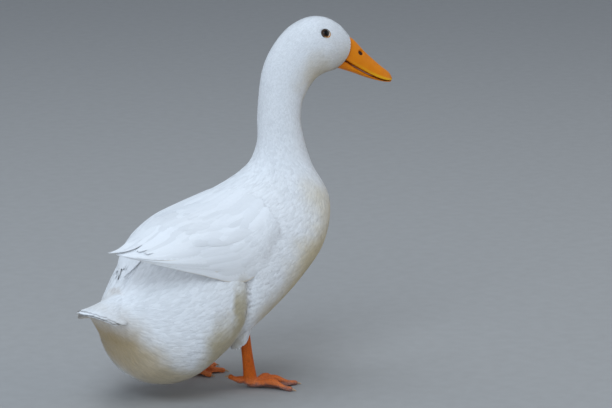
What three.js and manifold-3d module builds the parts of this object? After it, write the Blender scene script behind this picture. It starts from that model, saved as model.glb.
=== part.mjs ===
// A standing white domestic duck, a hen at life size, with her head turned to her right.
// Millimetres, +Z up, +X forward, +Y to the bird's left. The soles stand on the plane Z = 0.
import * as THREE from "three";
import { mergeVertices } from "three/addons/utils/BufferGeometryUtils.js";
import Module from "manifold-3d";

const wasm = await Module();
wasm.setup();

// ---- Driving dimensions ----
const GAP = 0.3; // clear space left between two pieces that touch
const CENTRE_X = 17.09; // middle of the bird's length, measured from midway between the ankles
const CENTRE_Y = -8.29; // middle of her breadth, the turned bill included
const RING_POINTS = 26; // points round one section of the body
const RINGS_PER_STATION = 2.5; // sections from one body station to the next

const NECK_PIVOT_X = 105; // upright line the neck and head turn about
const HEAD_TURN = -27; // degrees, to her right
const NECK_BASE_STATION = 8.6; // where trunk and neck are parted, counted in stations
const HEAD_BASE_STATION = 12.5; // where neck and head are parted
const RUMP_STATION = 1.6; // where rump and abdomen are parted
const FLANK_STATION = 4.12; // where abdomen and trunk are parted, in a shallow crease
const FLANK_CREASE = 0.04; // share of the half width that the crease sinks
const CREASE_BREADTH = 0.2; // in stations
const PART_STEP = 0.02; // share of a station left open at each parting

const EYE = { along: 151.2, side: 18.9, height: 374, radius: 6.4 };
const NAIL = { along: 231.6, height: 321.6, radii: [5, 4, 3.4] }; // the horny tip of the upper jaw
const WING_THICK = 9; // at the middle of the folded wing
const WING_EDGE = 1.4; // at its edges
const WING_ROUNDING = 0.92; // power of sine and cosine in the wing's fall from seam to lower edge
const SHOULDER_ROUNDING = 1.15; // the same at the wing's front, which lies closer to the body
const SHOULDER_SHARE = 0.3; // share of the wing over which the one becomes the other
const CHEEK_LOBE = 5; // how far the cheek bulges forward over the bill's root
const CHEEK_STATIONS = [16.2, 18]; // where the bulge begins and is full
const LOWER_JAW_INSET = 1.4; // each side of the lower jaw, inside the upper one
const TAIL = {
  root: -134, reach: 56, halfWidth: 30, height: 122, thick: 3, arch: 13, cornerCut: 24, turn: 7,
};
const ANKLE = { x: 12, y: 50, height: 9 };
const HOCK = { x: 2.9, y: 48, height: 72 };
const SHANK_HALF_WIDTHS = [6.8, 5.8, 5.1, 4.9, 5, 5.2]; // ankle to hock, fore and aft
const SHANK_HALF_BREADTHS = [8, 7.1, 6.4, 6.2, 6.3, 6.5]; // ankle to hock, side to side
const TOE_LENGTHS = { inner: 42, middle: 52, outer: 49, hind: 24 }; // without the claw
const TOE_ANGLES = { inner: -28, middle: 0, outer: 31, hind: 187 }; // degrees, outward from the middle toe
const THIGH_SET_BACK = 5.7; // thigh's middle, behind the hock
const THIGH_LEVELS = [
  // height, half width fore and aft, half breadth, rise of the rim to a unit forward
  { z: 55, x: 10.6, y: 10, slant: 0.45 },
  { z: 62, x: 12.8, y: 12.4, slant: 0.4 },
  { z: 72, x: 16, y: 15, slant: 0.2 },
  { z: 86, x: 19, y: 18, slant: 0 },
];
const LEFT_ANKLE_X = -3; // the left foot stands a little behind the right
const FOOT_TURNS = { right: 34, left: -43 }; // degrees, the middle toe's way outward from straight ahead
const KNUCKLE_RISE = 5; // how far a toe arches up at its knuckle
const TOE_ENDS = { front: [7, 2.2], hind: [10.5, 14] }; // heights of a toe at its root and its tip
const FOOT_PAD = [9, 7.4, 7]; // half sizes of the pad under the ankle
const PAD_SET_DOWN = 3; // pad's middle, below the ankle
const TOE_HALF_WIDTHS = [5.2, 2.4]; // at the root and at the tip
const TOE_HALF_HEIGHTS = [6.2, 2.6];
const TOE_SWELLING = 0.12; // share by which a toe thickens at each joint
const WEB_REACH = 0.96; // share of the toes' length the web takes in
const WEB_SCALLOP = 0.2; // share its front edge is drawn in midway
const WEB_HEIGHTS = [6, 2.6]; // upper face, by the ankle and at the front
const WEB_UNDERSIDE = 0.9;
const CLAW_LENGTH = 5.5;
const FLOOR_DEPTH = 40;

const radians = THREE.MathUtils.degToRad;
const UP = new THREE.Vector3(0, 0, 1);
const lerp = THREE.MathUtils.lerp;

// Body stations, tail to face: upper point [x, z], lower point [x, z], half width, height of the
// widest line as a share from below, roundness exponents of the upper and lower half, turn.
const STATIONS = [
  { back: [-157, 112], belly: [-160, 94], half: 22, widest: 0.5, round: [2, 2], turn: 0 },
  { back: [-136, 120], belly: [-138, 61], half: 33, widest: 0.48, round: [2, 2], turn: 0 },
  { back: [-110, 141], belly: [-112, 25], half: 58, widest: 0.46, round: [2, 2], turn: 0 },
  { back: [-74, 174], belly: [-72, 14.5], half: 79, widest: 0.44, round: [2, 2.1], turn: 0 },
  { back: [-24, 197], belly: [-20, 38], half: 83, widest: 0.44, round: [2, 2.1], turn: 0 },
  { back: [20, 211], belly: [28, 62], half: 83, widest: 0.44, round: [1.9, 2.1], turn: 0 },
  { back: [51, 222], belly: [85, 93], half: 77, widest: 0.42, round: [1.8, 2], turn: 0 },
  { back: [66, 230], belly: [133, 130], half: 68, widest: 0.42, round: [1.7, 2], turn: 0 },
  { back: [76, 241], belly: [156, 180], half: 52, widest: 0.42, round: [1.6, 2], turn: 0 },
  { back: [81, 259], belly: [142, 226], half: 32, widest: 0.5, round: [1.7, 2], turn: -3 },
  { back: [82, 283], belly: [130, 266], half: 26.5, widest: 0.5, round: [2, 2], turn: -8 },
  { back: [83, 306], belly: [130, 291], half: 25, widest: 0.5, round: [2, 2], turn: -15 },
  { back: [87, 334], belly: [136, 307], half: 25, widest: 0.5, round: [2, 2], turn: -22 },
  { back: [97, 357], belly: [146, 322], half: 26, widest: 0.5, round: [2, 2], turn: HEAD_TURN },
  { back: [115, 379], belly: [155.5, 328], half: 28, widest: 0.5, round: [2, 2], turn: HEAD_TURN },
  { back: [137, 390.7], belly: [162.5, 330], half: 28, widest: 0.5, round: [2, 2], turn: HEAD_TURN },
  { back: [157, 391], belly: [166.5, 331], half: 25, widest: 0.48, round: [2, 2], turn: HEAD_TURN },
  { back: [174, 382.5], belly: [169, 331.8], half: 19.5, widest: 0.46, round: [2, 2], turn: HEAD_TURN },
  { back: [186, 369.8], belly: [171, 333], half: 13.4, widest: 0.46, round: [2, 2], turn: HEAD_TURN },
];

// Folded wings: the seam along the back and the lower edge, shoulder to tip.
const RIGHT_SEAM = [[26, -0.8, 214], [-6, -0.8, 206], [-52, -0.8, 199.5], [-89, -2, 194.5],
  [-115, -5, 183], [-140, -8, 173.5], [-163, -10, 172.5]];
const RIGHT_EDGE = [[35, -72, 174], [8.5, -80, 154], [-23.5, -79.5, 140], [-55, -75, 141], [-82, -70, 148],
  [-124, -52.5, 160], [-163, -13, 172.5]];
const LEFT_SEAM = [[26, 0.8, 212.3], [-6, 0.8, 205], [-46, 0.8, 194], [-71, 1.5, 178.5], [-91, 2, 160],
  [-111, 3, 144.5], [-128, 5, 135]];
const LEFT_EDGE = [[30, 72, 172.5], [4, 79.5, 153], [-32, 79, 141], [-60, 74, 136.5], [-85, 57, 133],
  [-109, 30, 130], [-129, 9, 131.5]];

// Bill, along the head's line: ridge height, gape height, lower edge height, half width.
const BILL_STATIONS = [
  { along: 172, ridge: 364, gape: 345, under: 333.5, half: 10.4 },
  { along: 180, ridge: 368, gape: 342, under: 330.8, half: 12 },
  { along: 190, ridge: 365.3, gape: 335.3, under: 327.3, half: 12.8 },
  { along: 204, ridge: 350.8, gape: 327.2, under: 321.8, half: 12.8 },
  { along: 214, ridge: 341.4, gape: 322.2, under: 318.5, half: 13.3 },
  { along: 224, ridge: 332.7, gape: 318.6, under: 316.2, half: 14 },
  { along: 232, ridge: 326.4, gape: 317.3, under: 315.2, half: 11 },
  { along: 236.2, ridge: 320.6, gape: 317.8, under: 315.8, half: 4 },
];

// ---- Solids from grids of points ----

// A manifold-3d solid from a three.js geometry, with its faces turned outward.
function solidOf(geometry) {
  const bare = geometry.clone();
  bare.deleteAttribute("normal");
  bare.deleteAttribute("uv");
  const merged = mergeVertices(bare, 1e-4);
  const vertProperties = new Float32Array(merged.attributes.position.array);
  const triVerts = new Uint32Array(merged.index.array);
  const made = new wasm.Manifold(new wasm.Mesh({ numProp: 3, vertProperties, triVerts }));
  if (made.volume() >= 0) return made;
  triVerts.reverse();
  return new wasm.Manifold(new wasm.Mesh({ numProp: 3, vertProperties, triVerts }));
}

// An indexed geometry from points and triangles.
function geometryOf(points, triangles) {
  const geometry = new THREE.BufferGeometry().setFromPoints(points);
  geometry.setIndex(triangles);
  return geometry;
}

// A closed tube through rings of points, each end closed by a fan to the ring's middle.
function tubeSolid(rings) {
  const count = rings[0].length;
  const points = rings.flat();
  const triangles = [];
  for (let i = 0; i + 1 < rings.length; i++)
    for (let j = 0; j < count; j++) {
      const k = (j + 1) % count;
      const [a, b, c, d] = [i * count + j, i * count + k, (i + 1) * count + k, (i + 1) * count + j];
      triangles.push(a, b, c, a, c, d);
    }
  for (const end of [0, rings.length - 1]) {
    const middle = rings[end].reduce((sum, p) => sum.add(p), new THREE.Vector3()).divideScalar(count);
    points.push(middle);
    for (let j = 0; j < count; j++) {
      const k = (j + 1) % count;
      const fan = [end * count + k, end * count + j, points.length - 1];
      triangles.push(...(end === 0 ? fan : fan.reverse()));
    }
  }
  return solidOf(geometryOf(points, triangles));
}

// A closed shell between two grids of the same size, stitched round its border.
function shellSolid(outer, inner) {
  const rows = outer.length;
  const columns = outer[0].length;
  const points = [...outer.flat(), ...inner.flat()];
  const under = rows * columns;
  const triangles = [];
  for (let i = 0; i + 1 < rows; i++)
    for (let j = 0; j + 1 < columns; j++) {
      const [a, b] = [i * columns + j, i * columns + j + 1];
      const [d, c] = [a + columns, b + columns];
      triangles.push(a, b, c, a, c, d, under + c, under + b, under + a, under + d, under + c, under + a);
    }
  const border = [];
  for (let j = 0; j + 1 < columns; j++) border.push(j);
  for (let i = 0; i + 1 < rows; i++) border.push(i * columns + columns - 1);
  for (let j = columns - 1; j > 0; j--) border.push((rows - 1) * columns + j);
  for (let i = rows - 1; i > 0; i--) border.push(i * columns);
  border.forEach((a, n) => {
    const b = border[(n + 1) % border.length];
    triangles.push(b, a, under + a, b, under + a, under + b);
  });
  return solidOf(geometryOf(points, triangles));
}

// A sheet with its outer face on a grid and its thickness below it, as a function of the two
// shares along the grid. grow swells it on every side, to cut room for it.
function sheetSolid(outer, thickness, grow = 0) {
  const rows = outer.length - 1;
  const columns = outer[0].length - 1;
  const clamp = THREE.MathUtils.clamp;
  const at = (i, j) => outer[clamp(i, 0, rows)][clamp(j, 0, columns)];
  const place = (i, j, lift) => {
    const down = at(i + 1, j).clone().sub(at(i - 1, j)).normalize();
    const across = at(i, j + 1).clone().sub(at(i, j - 1)).normalize();
    const outward = new THREE.Vector3().crossVectors(down, across).normalize();
    if (outward.z < 0) outward.negate();
    const spreadDown = i === 0 ? -grow : i === rows ? grow : 0;
    const spreadAcross = j === 0 ? -grow : j === columns ? grow : 0;
    const point = at(i, j).clone().addScaledVector(outward, lift);
    return point.addScaledVector(down, spreadDown).addScaledVector(across, spreadAcross);
  };
  const face = (lift) => outer.map((row, i) => row.map((_, j) => place(i, j, lift(i / rows, j / columns))));
  return shellSolid(face(() => grow), face((u, v) => -thickness(u, v) - grow));
}

// A smooth curve of number rows at place t, counted in rows.
function spline(rows, t) {
  const i = Math.min(Math.max(Math.floor(t), 0), rows.length - 2);
  const f = t - i;
  const row = (n) => rows[Math.min(Math.max(n, 0), rows.length - 1)];
  return rows[i].map((p1, k) => {
    const p2 = rows[i + 1][k];
    const p0 = i > 0 ? row(i - 1)[k] : 2 * p1 - p2;
    const p3 = i + 2 < rows.length ? row(i + 2)[k] : 2 * p2 - p1;
    return 0.5 * (2 * p1 + (p2 - p0) * f + (2 * p0 - 5 * p1 + 4 * p2 - p3) * f * f +
      (3 * p1 - p0 - 3 * p2 + p3) * f * f * f);
  });
}

// A number of steps from 0 to 1, both ends included.
const steps = (count) => Array.from({ length: count }, (_, n) => n / (count - 1));

// The largest body of a solid: slivers that a cut leaves are dropped.
const mainBody = (solid) => solid.decompose().sort((a, b) => b.volume() - a.volume())[0];

// A rounded power that keeps the sign, for superellipses.
const signedPower = (value, power) => Math.sign(value) * Math.abs(value) ** power;

// A point of the head's own upright plane, turned about the neck's pivot line.
function turned(along, side, height, turn) {
  const reach = along - NECK_PIVOT_X;
  const [c, s] = [Math.cos(radians(turn)), Math.sin(radians(turn))];
  return new THREE.Vector3(NECK_PIVOT_X + reach * c + side * s, reach * s - side * c, height);
}

// An ellipsoid at a place, turned about Z.
function ellipsoid(place, radii, turn = 0, detail = [12, 7]) {
  const geometry = new THREE.SphereGeometry(1, ...detail);
  geometry.scale(...radii);
  geometry.rotateZ(radians(turn));
  geometry.translate(place.x, place.y, place.z);
  return solidOf(geometry);
}

// A round tapering tube along points, with a half width and half height at each.
function taperTube(path, widths, heights, ringPoints = 8) {
  const rings = path.map((p, n) => {
    const before = path[Math.max(n - 1, 0)];
    const after = path[Math.min(n + 1, path.length - 1)];
    const ahead = after.clone().sub(before).normalize();
    const steep = Math.abs(ahead.z) > 0.8;
    const side = new THREE.Vector3().crossVectors(ahead, new THREE.Vector3(steep ? 1 : 0, 0, steep ? 0 : 1));
    side.normalize();
    const up = new THREE.Vector3().crossVectors(side, ahead);
    return Array.from({ length: ringPoints }, (_, k) => {
      const a = (2 * Math.PI * k) / ringPoints;
      const across = side.clone().multiplyScalar(widths[n] * Math.cos(a));
      return p.clone().add(across).addScaledVector(up, heights[n] * Math.sin(a));
    });
  });
  return tubeSolid(rings);
}

// ---- Body ----
const bodyRows = STATIONS.map((s) => [...s.back, ...s.belly, s.half, s.widest, ...s.round, s.turn]);

// One section of the body: a superellipse with a different roundness above and below.
function bodyRing(t) {
  const [backX, backZ, bellyX, bellyZ, half, widest, roundUp, roundDown, turn] = spline(bodyRows, t);
  const waist = 1 - FLANK_CREASE * Math.exp(-(((t - FLANK_STATION) / CREASE_BREADTH) ** 2));
  const [lobeFrom, lobeTo] = CHEEK_STATIONS;
  const cheek = CHEEK_LOBE * THREE.MathUtils.clamp((t - lobeFrom) / (lobeTo - lobeFrom), 0, 1);
  const depth = Math.hypot(backX - bellyX, backZ - bellyZ);
  const [upX, upZ] = [(backX - bellyX) / depth, (backZ - bellyZ) / depth];
  return Array.from({ length: RING_POINTS }, (_, n) => {
    const a = (2 * Math.PI * n) / RING_POINTS;
    const power = 2 / (Math.cos(a) > 0 ? roundUp : roundDown);
    const tall = depth * (Math.cos(a) > 0 ? 1 - widest : widest);
    const rise = widest * depth + signedPower(Math.cos(a), power) * tall;
    const side = signedPower(Math.sin(a), power) * half * waist;
    const lobe = cheek * Math.sin(a) ** 2;
    return turned(bellyX + upX * rise + lobe, side, bellyZ + upZ * rise, turn);
  });
}

// A length of the body between two stations.
function bodyLength(from, to) {
  const count = Math.max(3, Math.round((to - from) * RINGS_PER_STATION) + 1);
  return tubeSolid(steps(count).map((f) => bodyRing(lerp(from, to, f))));
}

const lastStation = STATIONS.length - 1;
let rump = bodyLength(0, RUMP_STATION);
let abdomen = bodyLength(RUMP_STATION + PART_STEP, FLANK_STATION);
let trunk = bodyLength(FLANK_STATION + PART_STEP, NECK_BASE_STATION);
const neck = bodyLength(NECK_BASE_STATION + PART_STEP, HEAD_BASE_STATION);
let head = bodyLength(HEAD_BASE_STATION + PART_STEP, lastStation);

// ---- Folded wings ----

// The wing's outer face falls from the seam as a quarter of a rounded square. It is thick in the
// middle and thin at its edges.
function foldedWing(seam, edge, grow = 0) {
  const along = 13;
  const across = 8;
  const outer = steps(along).map((u) => {
    const top = spline(seam, u * (seam.length - 1));
    const low = spline(edge, u * (edge.length - 1));
    const rounding = lerp(SHOULDER_ROUNDING, WING_ROUNDING, Math.min(u / SHOULDER_SHARE, 1));
    return steps(across).map((v) => {
      const a = (v * Math.PI) / 2;
      const y = lerp(top[1], low[1], Math.sin(a) ** rounding);
      const z = lerp(low[2], top[2], Math.cos(a) ** rounding);
      return new THREE.Vector3(lerp(top[0], low[0], v), y, z);
    });
  });
  const thickness = (u, v) => {
    const middle = Math.max(Math.sin(Math.PI * u) * Math.sin(Math.PI * v), 0);
    return lerp(WING_EDGE, WING_THICK, Math.sqrt(middle));
  };
  return sheetSolid(outer, thickness, grow);
}

const wingRight = foldedWing(RIGHT_SEAM, RIGHT_EDGE);
const wingLeft = foldedWing(LEFT_SEAM, LEFT_EDGE);
for (const [seam, edge] of [[RIGHT_SEAM, RIGHT_EDGE], [LEFT_SEAM, LEFT_EDGE]]) {
  const room = foldedWing(seam, edge, GAP);
  trunk = mainBody(trunk.subtract(room));
  abdomen = mainBody(abdomen.subtract(room));
  rump = mainBody(rump.subtract(room));
}

// ---- Tail ----

// An arched fan with rounded corners.
function tailFan(grow = 0) {
  const outer = steps(6).map((u) =>
    steps(11).map((v) => {
      const across = 2 * v - 1;
      const reach = TAIL.reach - TAIL.cornerCut * Math.abs(across) ** 1.8;
      const half = (TAIL.halfWidth - 5 * (1 - u)) * across;
      const drop = TAIL.arch * (2 - u) * Math.abs(across) ** 2.2 + 16 * u - 7 * u * u;
      const point = new THREE.Vector3(-reach * u, half, TAIL.height - drop);
      return point.applyAxisAngle(UP, radians(TAIL.turn)).add(new THREE.Vector3(TAIL.root, 0, 0));
    }),
  );
  return sheetSolid(outer, () => TAIL.thick, grow);
}

const tail = tailFan();
rump = mainBody(rump.subtract(tailFan(GAP)));

// ---- Bill ----
const billRows = BILL_STATIONS.map((s) => [s.along, s.ridge, s.gape, s.under, s.half]);

// One jaw of the bill: the upper one is an arch over the gape, the lower one a shallow tray.
function jaw(upper, grow = 0) {
  return tubeSolid(steps(13).map((u) => {
    const [along, ridge, gape, under, half] = spline(billRows, u * (billRows.length - 1));
    const root = u === 0 ? grow : 0;
    const top = upper ? ridge + grow : gape - GAP + grow;
    const low = upper ? gape - grow : under - grow;
    const width = half + grow - (upper ? 0 : LOWER_JAW_INSET);
    return Array.from({ length: 12 }, (_, n) => {
      const a = (2 * Math.PI * n) / 12;
      const rounding = upper === Math.cos(a) > 0 ? 1 : 0.12;
      const middle = upper ? lerp(low, top, 0.25) : lerp(low, top, 0.6);
      const tall = Math.cos(a) > 0 ? top - middle : middle - low;
      const height = middle + signedPower(Math.cos(a), rounding) * tall;
      return turned(along - root, Math.sin(a) * width, height, HEAD_TURN);
    });
  }));
}

const nailPlace = turned(NAIL.along, 0, NAIL.height, HEAD_TURN);
const nail = ellipsoid(nailPlace, NAIL.radii, HEAD_TURN, [10, 6]);
const nailRoom = ellipsoid(nailPlace, NAIL.radii.map((r) => r + GAP), HEAD_TURN, [10, 6]);
const billUpper = mainBody(jaw(true).subtract(nailRoom));
const billLower = mainBody(jaw(false).subtract(nailRoom));
head = mainBody(head.subtract(jaw(true, GAP)).subtract(jaw(false, GAP)));

// ---- Eyes ----
const eyes = {};
for (const [name, side] of [["eye_right", 1], ["eye_left", -1]]) {
  const place = turned(EYE.along, side * EYE.side, EYE.height, HEAD_TURN);
  eyes[name] = ellipsoid(place, [EYE.radius, EYE.radius, EYE.radius], HEAD_TURN);
  const socket = EYE.radius + GAP;
  head = mainBody(head.subtract(ellipsoid(place, [socket, socket, socket], HEAD_TURN)));
}

// ---- Legs ----
const belowFloor = new THREE.BoxGeometry(800, 800, FLOOR_DEPTH);
belowFloor.translate(0, 0, -FLOOR_DEPTH / 2);
const floorCut = solidOf(belowFloor);

// The bare shank from ankle to hock. grow swells it for a clear cut.
function shank(ankle, hock, grow = 0) {
  const grown = (sizes) => sizes.map((size) => size + grow);
  const path = steps(SHANK_HALF_WIDTHS.length).map((f) => ankle.clone().lerp(hock, f));
  return taperTube(path, grown(SHANK_HALF_WIDTHS), grown(SHANK_HALF_BREADTHS), 12);
}

// The feathered thigh, a cone whose lower rim slants up to the front. grow swells it.
function thigh(hock, grow = 0) {
  return tubeSolid(THIGH_LEVELS.map(({ z, x, y, slant }, n) => {
    const spread = n === 0 ? -grow : n === THIGH_LEVELS.length - 1 ? grow : 0;
    return Array.from({ length: 16 }, (_, k) => {
      const a = (2 * Math.PI * k) / 16;
      const forward = (x + grow) * Math.cos(a);
      const aside = (y + grow) * Math.sin(a);
      const height = z + spread + slant * forward;
      return new THREE.Vector3(hock.x - THIGH_SET_BACK + forward, hock.y + aside, height);
    });
  }));
}

// One toe from the ankle, with a swelling at each joint. Returns its solid and its tip.
function toe(ankle, angle, length, [root, end], rise) {
  const count = 7;
  const arch = (f) => rise * Math.sin(Math.PI * f) ** 4;
  const ahead = new THREE.Vector3(Math.cos(radians(angle)), Math.sin(radians(angle)), 0);
  const path = steps(count).map((f) =>
    ankle.clone().addScaledVector(ahead, f * length).setZ(lerp(root, end, Math.sqrt(f)) + arch(f)));
  const swell = (f) => 1 + TOE_SWELLING * Math.cos(4 * Math.PI * f);
  const widths = steps(count).map((f) => lerp(...TOE_HALF_WIDTHS, f) * swell(f));
  const heights = steps(count).map((f) => lerp(...TOE_HALF_HEIGHTS, f ** 0.6) * swell(f));
  return { solid: taperTube(path, widths, heights, 6), tip: path[count - 1], ahead };
}

// The web between two toes, with a scalloped front edge.
function web(ankle, angles, lengths) {
  const face = (height) => steps(3).map((r) =>
    steps(5).map((f) => {
      const angle = radians(lerp(angles[0], angles[1], f));
      const share = WEB_REACH - WEB_SCALLOP * Math.sin(Math.PI * f);
      const reach = lerp(...lengths, f) * share * lerp(0.12, 1, r);
      const [x, y] = [ankle.x + reach * Math.cos(angle), ankle.y + reach * Math.sin(angle)];
      return new THREE.Vector3(x, y, height(r));
    }),
  );
  return shellSolid(face((r) => lerp(...WEB_HEIGHTS, r)), face(() => WEB_UNDERSIDE));
}

// A short curved claw, its root set in the toe. grow swells it, to cut its bed.
function claw({ tip, ahead }, grow = 0) {
  const shape = [[-3 - grow, 0.2, 1.9], [0, 0.3, 1.9], [3, -0.3, 1.3], [CLAW_LENGTH + grow, -1, 0.5]];
  const path = shape.map(([reach, rise]) => {
    const point = tip.clone().addScaledVector(ahead, reach);
    return point.setZ(tip.z + rise);
  });
  const sizes = shape.map(([, , size]) => size + grow);
  return taperTube(path, sizes, sizes, 6);
}

const legs = {};
for (const [side, sign, ankleX] of [["right", -1, ANKLE.x], ["left", 1, LEFT_ANKLE_X]]) {
  const ankle = new THREE.Vector3(ankleX, sign * ANKLE.y, ANKLE.height);
  const hock = new THREE.Vector3(ankleX + HOCK.x - ANKLE.x, sign * HOCK.y, HOCK.height);
  const shankRoom = shank(ankle, hock, GAP);
  const angleOf = (name) => sign * (TOE_ANGLES[name] + FOOT_TURNS[side]);
  const toes = { hind: toe(ankle, angleOf("hind"), TOE_LENGTHS.hind, TOE_ENDS.hind, 0) };
  for (const name of ["inner", "middle", "outer"])
    toes[name] = toe(ankle, angleOf(name), TOE_LENGTHS[name], TOE_ENDS.front, KNUCKLE_RISE);
  let foot = ellipsoid(ankle.clone().setZ(ANKLE.height - PAD_SET_DOWN), FOOT_PAD, 0, [8, 6]);
  for (const { solid } of Object.values(toes)) foot = foot.add(solid);
  for (const [a, b] of [["inner", "middle"], ["middle", "outer"]])
    foot = foot.add(web(ankle, [angleOf(a), angleOf(b)], [TOE_LENGTHS[a], TOE_LENGTHS[b]]));
  foot = foot.subtract(floorCut).subtract(shankRoom);
  for (const [name, bed] of Object.entries(toes)) {
    foot = foot.subtract(claw(bed, GAP));
    legs[`claw_${name}_${side}`] = { solid: claw(bed).subtract(floorCut), material: "claw" };
  }
  legs[`foot_${side}`] = { solid: mainBody(foot), material: "skin" };
  legs[`thigh_${side}`] = { solid: mainBody(thigh(hock).subtract(shankRoom)), material: "plumage" };
  legs[`shank_${side}`] = { solid: shank(ankle, hock), material: "skin" };
  const legRoom = thigh(hock, GAP).add(shankRoom);
  trunk = mainBody(trunk.subtract(legRoom));
  abdomen = mainBody(abdomen.subtract(legRoom));
}

// ---- The group ----
const MATERIALS = {
  plumage: { color: 0xf3f3f1, roughness: 0.85, metalness: 0 },
  skin: { color: 0xd0601f, roughness: 0.6, metalness: 0 },
  bill: { color: 0xe8960f, roughness: 0.45, metalness: 0 },
  nail: { color: 0xd9b49a, roughness: 0.4, metalness: 0 },
  claw: { color: 0xb9a48c, roughness: 0.5, metalness: 0 },
  eye: { color: 0x0d0b0a, roughness: 0.08, metalness: 0 },
};

const duck = new THREE.Group();
function addPiece(name, solid, material) {
  const { vertProperties, triVerts } = solid.getMesh();
  const geometry = new THREE.BufferGeometry();
  geometry.setAttribute("position", new THREE.BufferAttribute(new Float32Array(vertProperties), 3));
  geometry.setIndex(new THREE.BufferAttribute(new Uint32Array(triVerts), 1));
  geometry.computeVertexNormals();
  const mesh = new THREE.Mesh(geometry, new THREE.MeshStandardMaterial(MATERIALS[material]));
  mesh.name = name;
  duck.add(mesh);
}

addPiece("trunk", trunk, "plumage");
addPiece("abdomen", abdomen, "plumage");
addPiece("rump", rump, "plumage");
addPiece("neck", neck, "plumage");
addPiece("head", head, "plumage");
addPiece("wing_right", wingRight, "plumage");
addPiece("wing_left", wingLeft, "plumage");
addPiece("tail", tail, "plumage");
addPiece("bill_upper", billUpper, "bill");
addPiece("bill_lower", billLower, "bill");
addPiece("bill_nail", nail, "nail");
for (const [name, solid] of Object.entries(eyes)) addPiece(name, solid, "eye");
for (const [name, { solid, material }] of Object.entries(legs)) addPiece(name, solid, material);
duck.position.set(-CENTRE_X, -CENTRE_Y, 0);

export default duck;
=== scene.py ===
import math
import bpy
import numpy as np
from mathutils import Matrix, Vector
from mathutils.bvhtree import BVHTree


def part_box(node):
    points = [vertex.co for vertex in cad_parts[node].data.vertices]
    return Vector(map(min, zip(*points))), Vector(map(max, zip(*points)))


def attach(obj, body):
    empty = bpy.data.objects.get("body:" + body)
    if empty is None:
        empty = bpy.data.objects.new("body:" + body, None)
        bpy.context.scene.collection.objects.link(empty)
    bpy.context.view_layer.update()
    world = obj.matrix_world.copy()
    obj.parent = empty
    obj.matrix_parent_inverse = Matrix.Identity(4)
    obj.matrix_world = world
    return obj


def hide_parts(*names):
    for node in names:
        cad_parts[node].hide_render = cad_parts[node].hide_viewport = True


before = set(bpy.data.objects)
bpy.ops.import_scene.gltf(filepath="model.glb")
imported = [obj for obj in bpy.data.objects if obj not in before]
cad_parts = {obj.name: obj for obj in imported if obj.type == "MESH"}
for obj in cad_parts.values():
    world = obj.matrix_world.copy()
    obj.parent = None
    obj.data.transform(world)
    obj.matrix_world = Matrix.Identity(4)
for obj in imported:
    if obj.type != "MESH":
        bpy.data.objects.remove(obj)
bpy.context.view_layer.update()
scene = bpy.context.scene

# Studio. A pale seamless floor under large soft lamps: cool ones high and low behind the bird, a
# weak warm one from ahead, and a blue-grey sky that fills the shade.
camera_turn = math.radians(-45)
camera_rise = math.radians(12)
camera_distance = 3.2
camera_lens = 171.1
camera_target = Vector((0.0848, -0.0374, 0.1905))
camera_back = Vector((
    math.sin(camera_turn) * math.cos(camera_rise),
    -math.cos(camera_turn) * math.cos(camera_rise),
    math.sin(camera_rise),
))
camera = bpy.data.objects.new("camera", bpy.data.cameras.new("camera"))
camera.data.lens = camera_lens
camera.location = camera_target + camera_back * camera_distance
camera.rotation_mode = "QUATERNION"
camera.rotation_quaternion = (-camera_back).to_track_quat("-Z", "Y")
scene.collection.objects.link(camera)
scene.camera = camera
scene.view_settings.view_transform = "Standard"

for name, place, size, power, colour in [
    ("key_lamp", (-1.5, -0.9, 2.3), 1.5, 28, (0.74, 0.87, 1.0)),
    ("top_lamp", (0.3, 0.9, 2.6), 1.6, 22, (0.82, 0.91, 1.0)),
    ("front_lamp", (2.0, -1.6, 1.1), 1.4, 10, (1.0, 0.95, 0.87)),
    ("low_lamp", (-2.4, -1.4, 0.5), 1.5, 20, (0.86, 0.93, 1.0)),
]:
    lamp = bpy.data.objects.new(name, bpy.data.lights.new(name, "AREA"))
    lamp.data.size = size
    lamp.data.energy = power
    lamp.data.color = colour
    lamp.location = place
    lamp.rotation_mode = "QUATERNION"
    lamp.rotation_quaternion = (camera_target - lamp.location).to_track_quat("-Z", "Y")
    scene.collection.objects.link(lamp)

sky = bpy.data.worlds.new("sky")
scene.world = sky
sky.use_nodes = True
sky_light = sky.node_tree.nodes["Background"]
sky_light.inputs["Color"].default_value = (0.76, 0.86, 1.0, 1)
sky_light.inputs["Strength"].default_value = 0.42


cad_middle = np.array([17.09, -8.29, 0])


def add_mesh(name, points, quads=(), triangles=()):
    """A mesh object from points in millimetres from the ankles' middle, placed in the frame in metres."""
    points = (np.asarray(points, float).reshape(-1, 3) - cad_middle) * 0.001
    quads = np.asarray(quads, np.int32).reshape(-1, 4)
    triangles = np.asarray(triangles, np.int32).reshape(-1, 3)
    corners = np.concatenate([quads.ravel(), triangles.ravel()])
    starts = np.concatenate([
        np.arange(len(quads)) * 4,
        len(quads) * 4 + np.arange(len(triangles)) * 3,
    ]).astype(np.int32)
    mesh = bpy.data.meshes.new(name)
    mesh.vertices.add(len(points))
    mesh.vertices.foreach_set("co", points.ravel())
    mesh.loops.add(len(corners))
    mesh.loops.foreach_set("vertex_index", corners)
    mesh.polygons.add(len(starts))
    mesh.polygons.foreach_set("loop_start", starts)
    mesh.update(calc_edges=True)
    piece = bpy.data.objects.new(name, mesh)
    scene.collection.objects.link(piece)
    return piece


def new_material(name, colour, roughness, specular=0.5):
    """A material with its node tree, its shader and its Object coordinates."""
    material = bpy.data.materials.new(name)
    material.use_nodes = True
    shader = material.node_tree.nodes["Principled BSDF"]
    shader.inputs["Base Color"].default_value = (*colour, 1)
    shader.inputs["Roughness"].default_value = roughness
    shader.inputs["Specular IOR Level"].default_value = specular
    place = material.node_tree.nodes.new("ShaderNodeTexCoord").outputs["Object"]
    return material, shader, place


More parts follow.
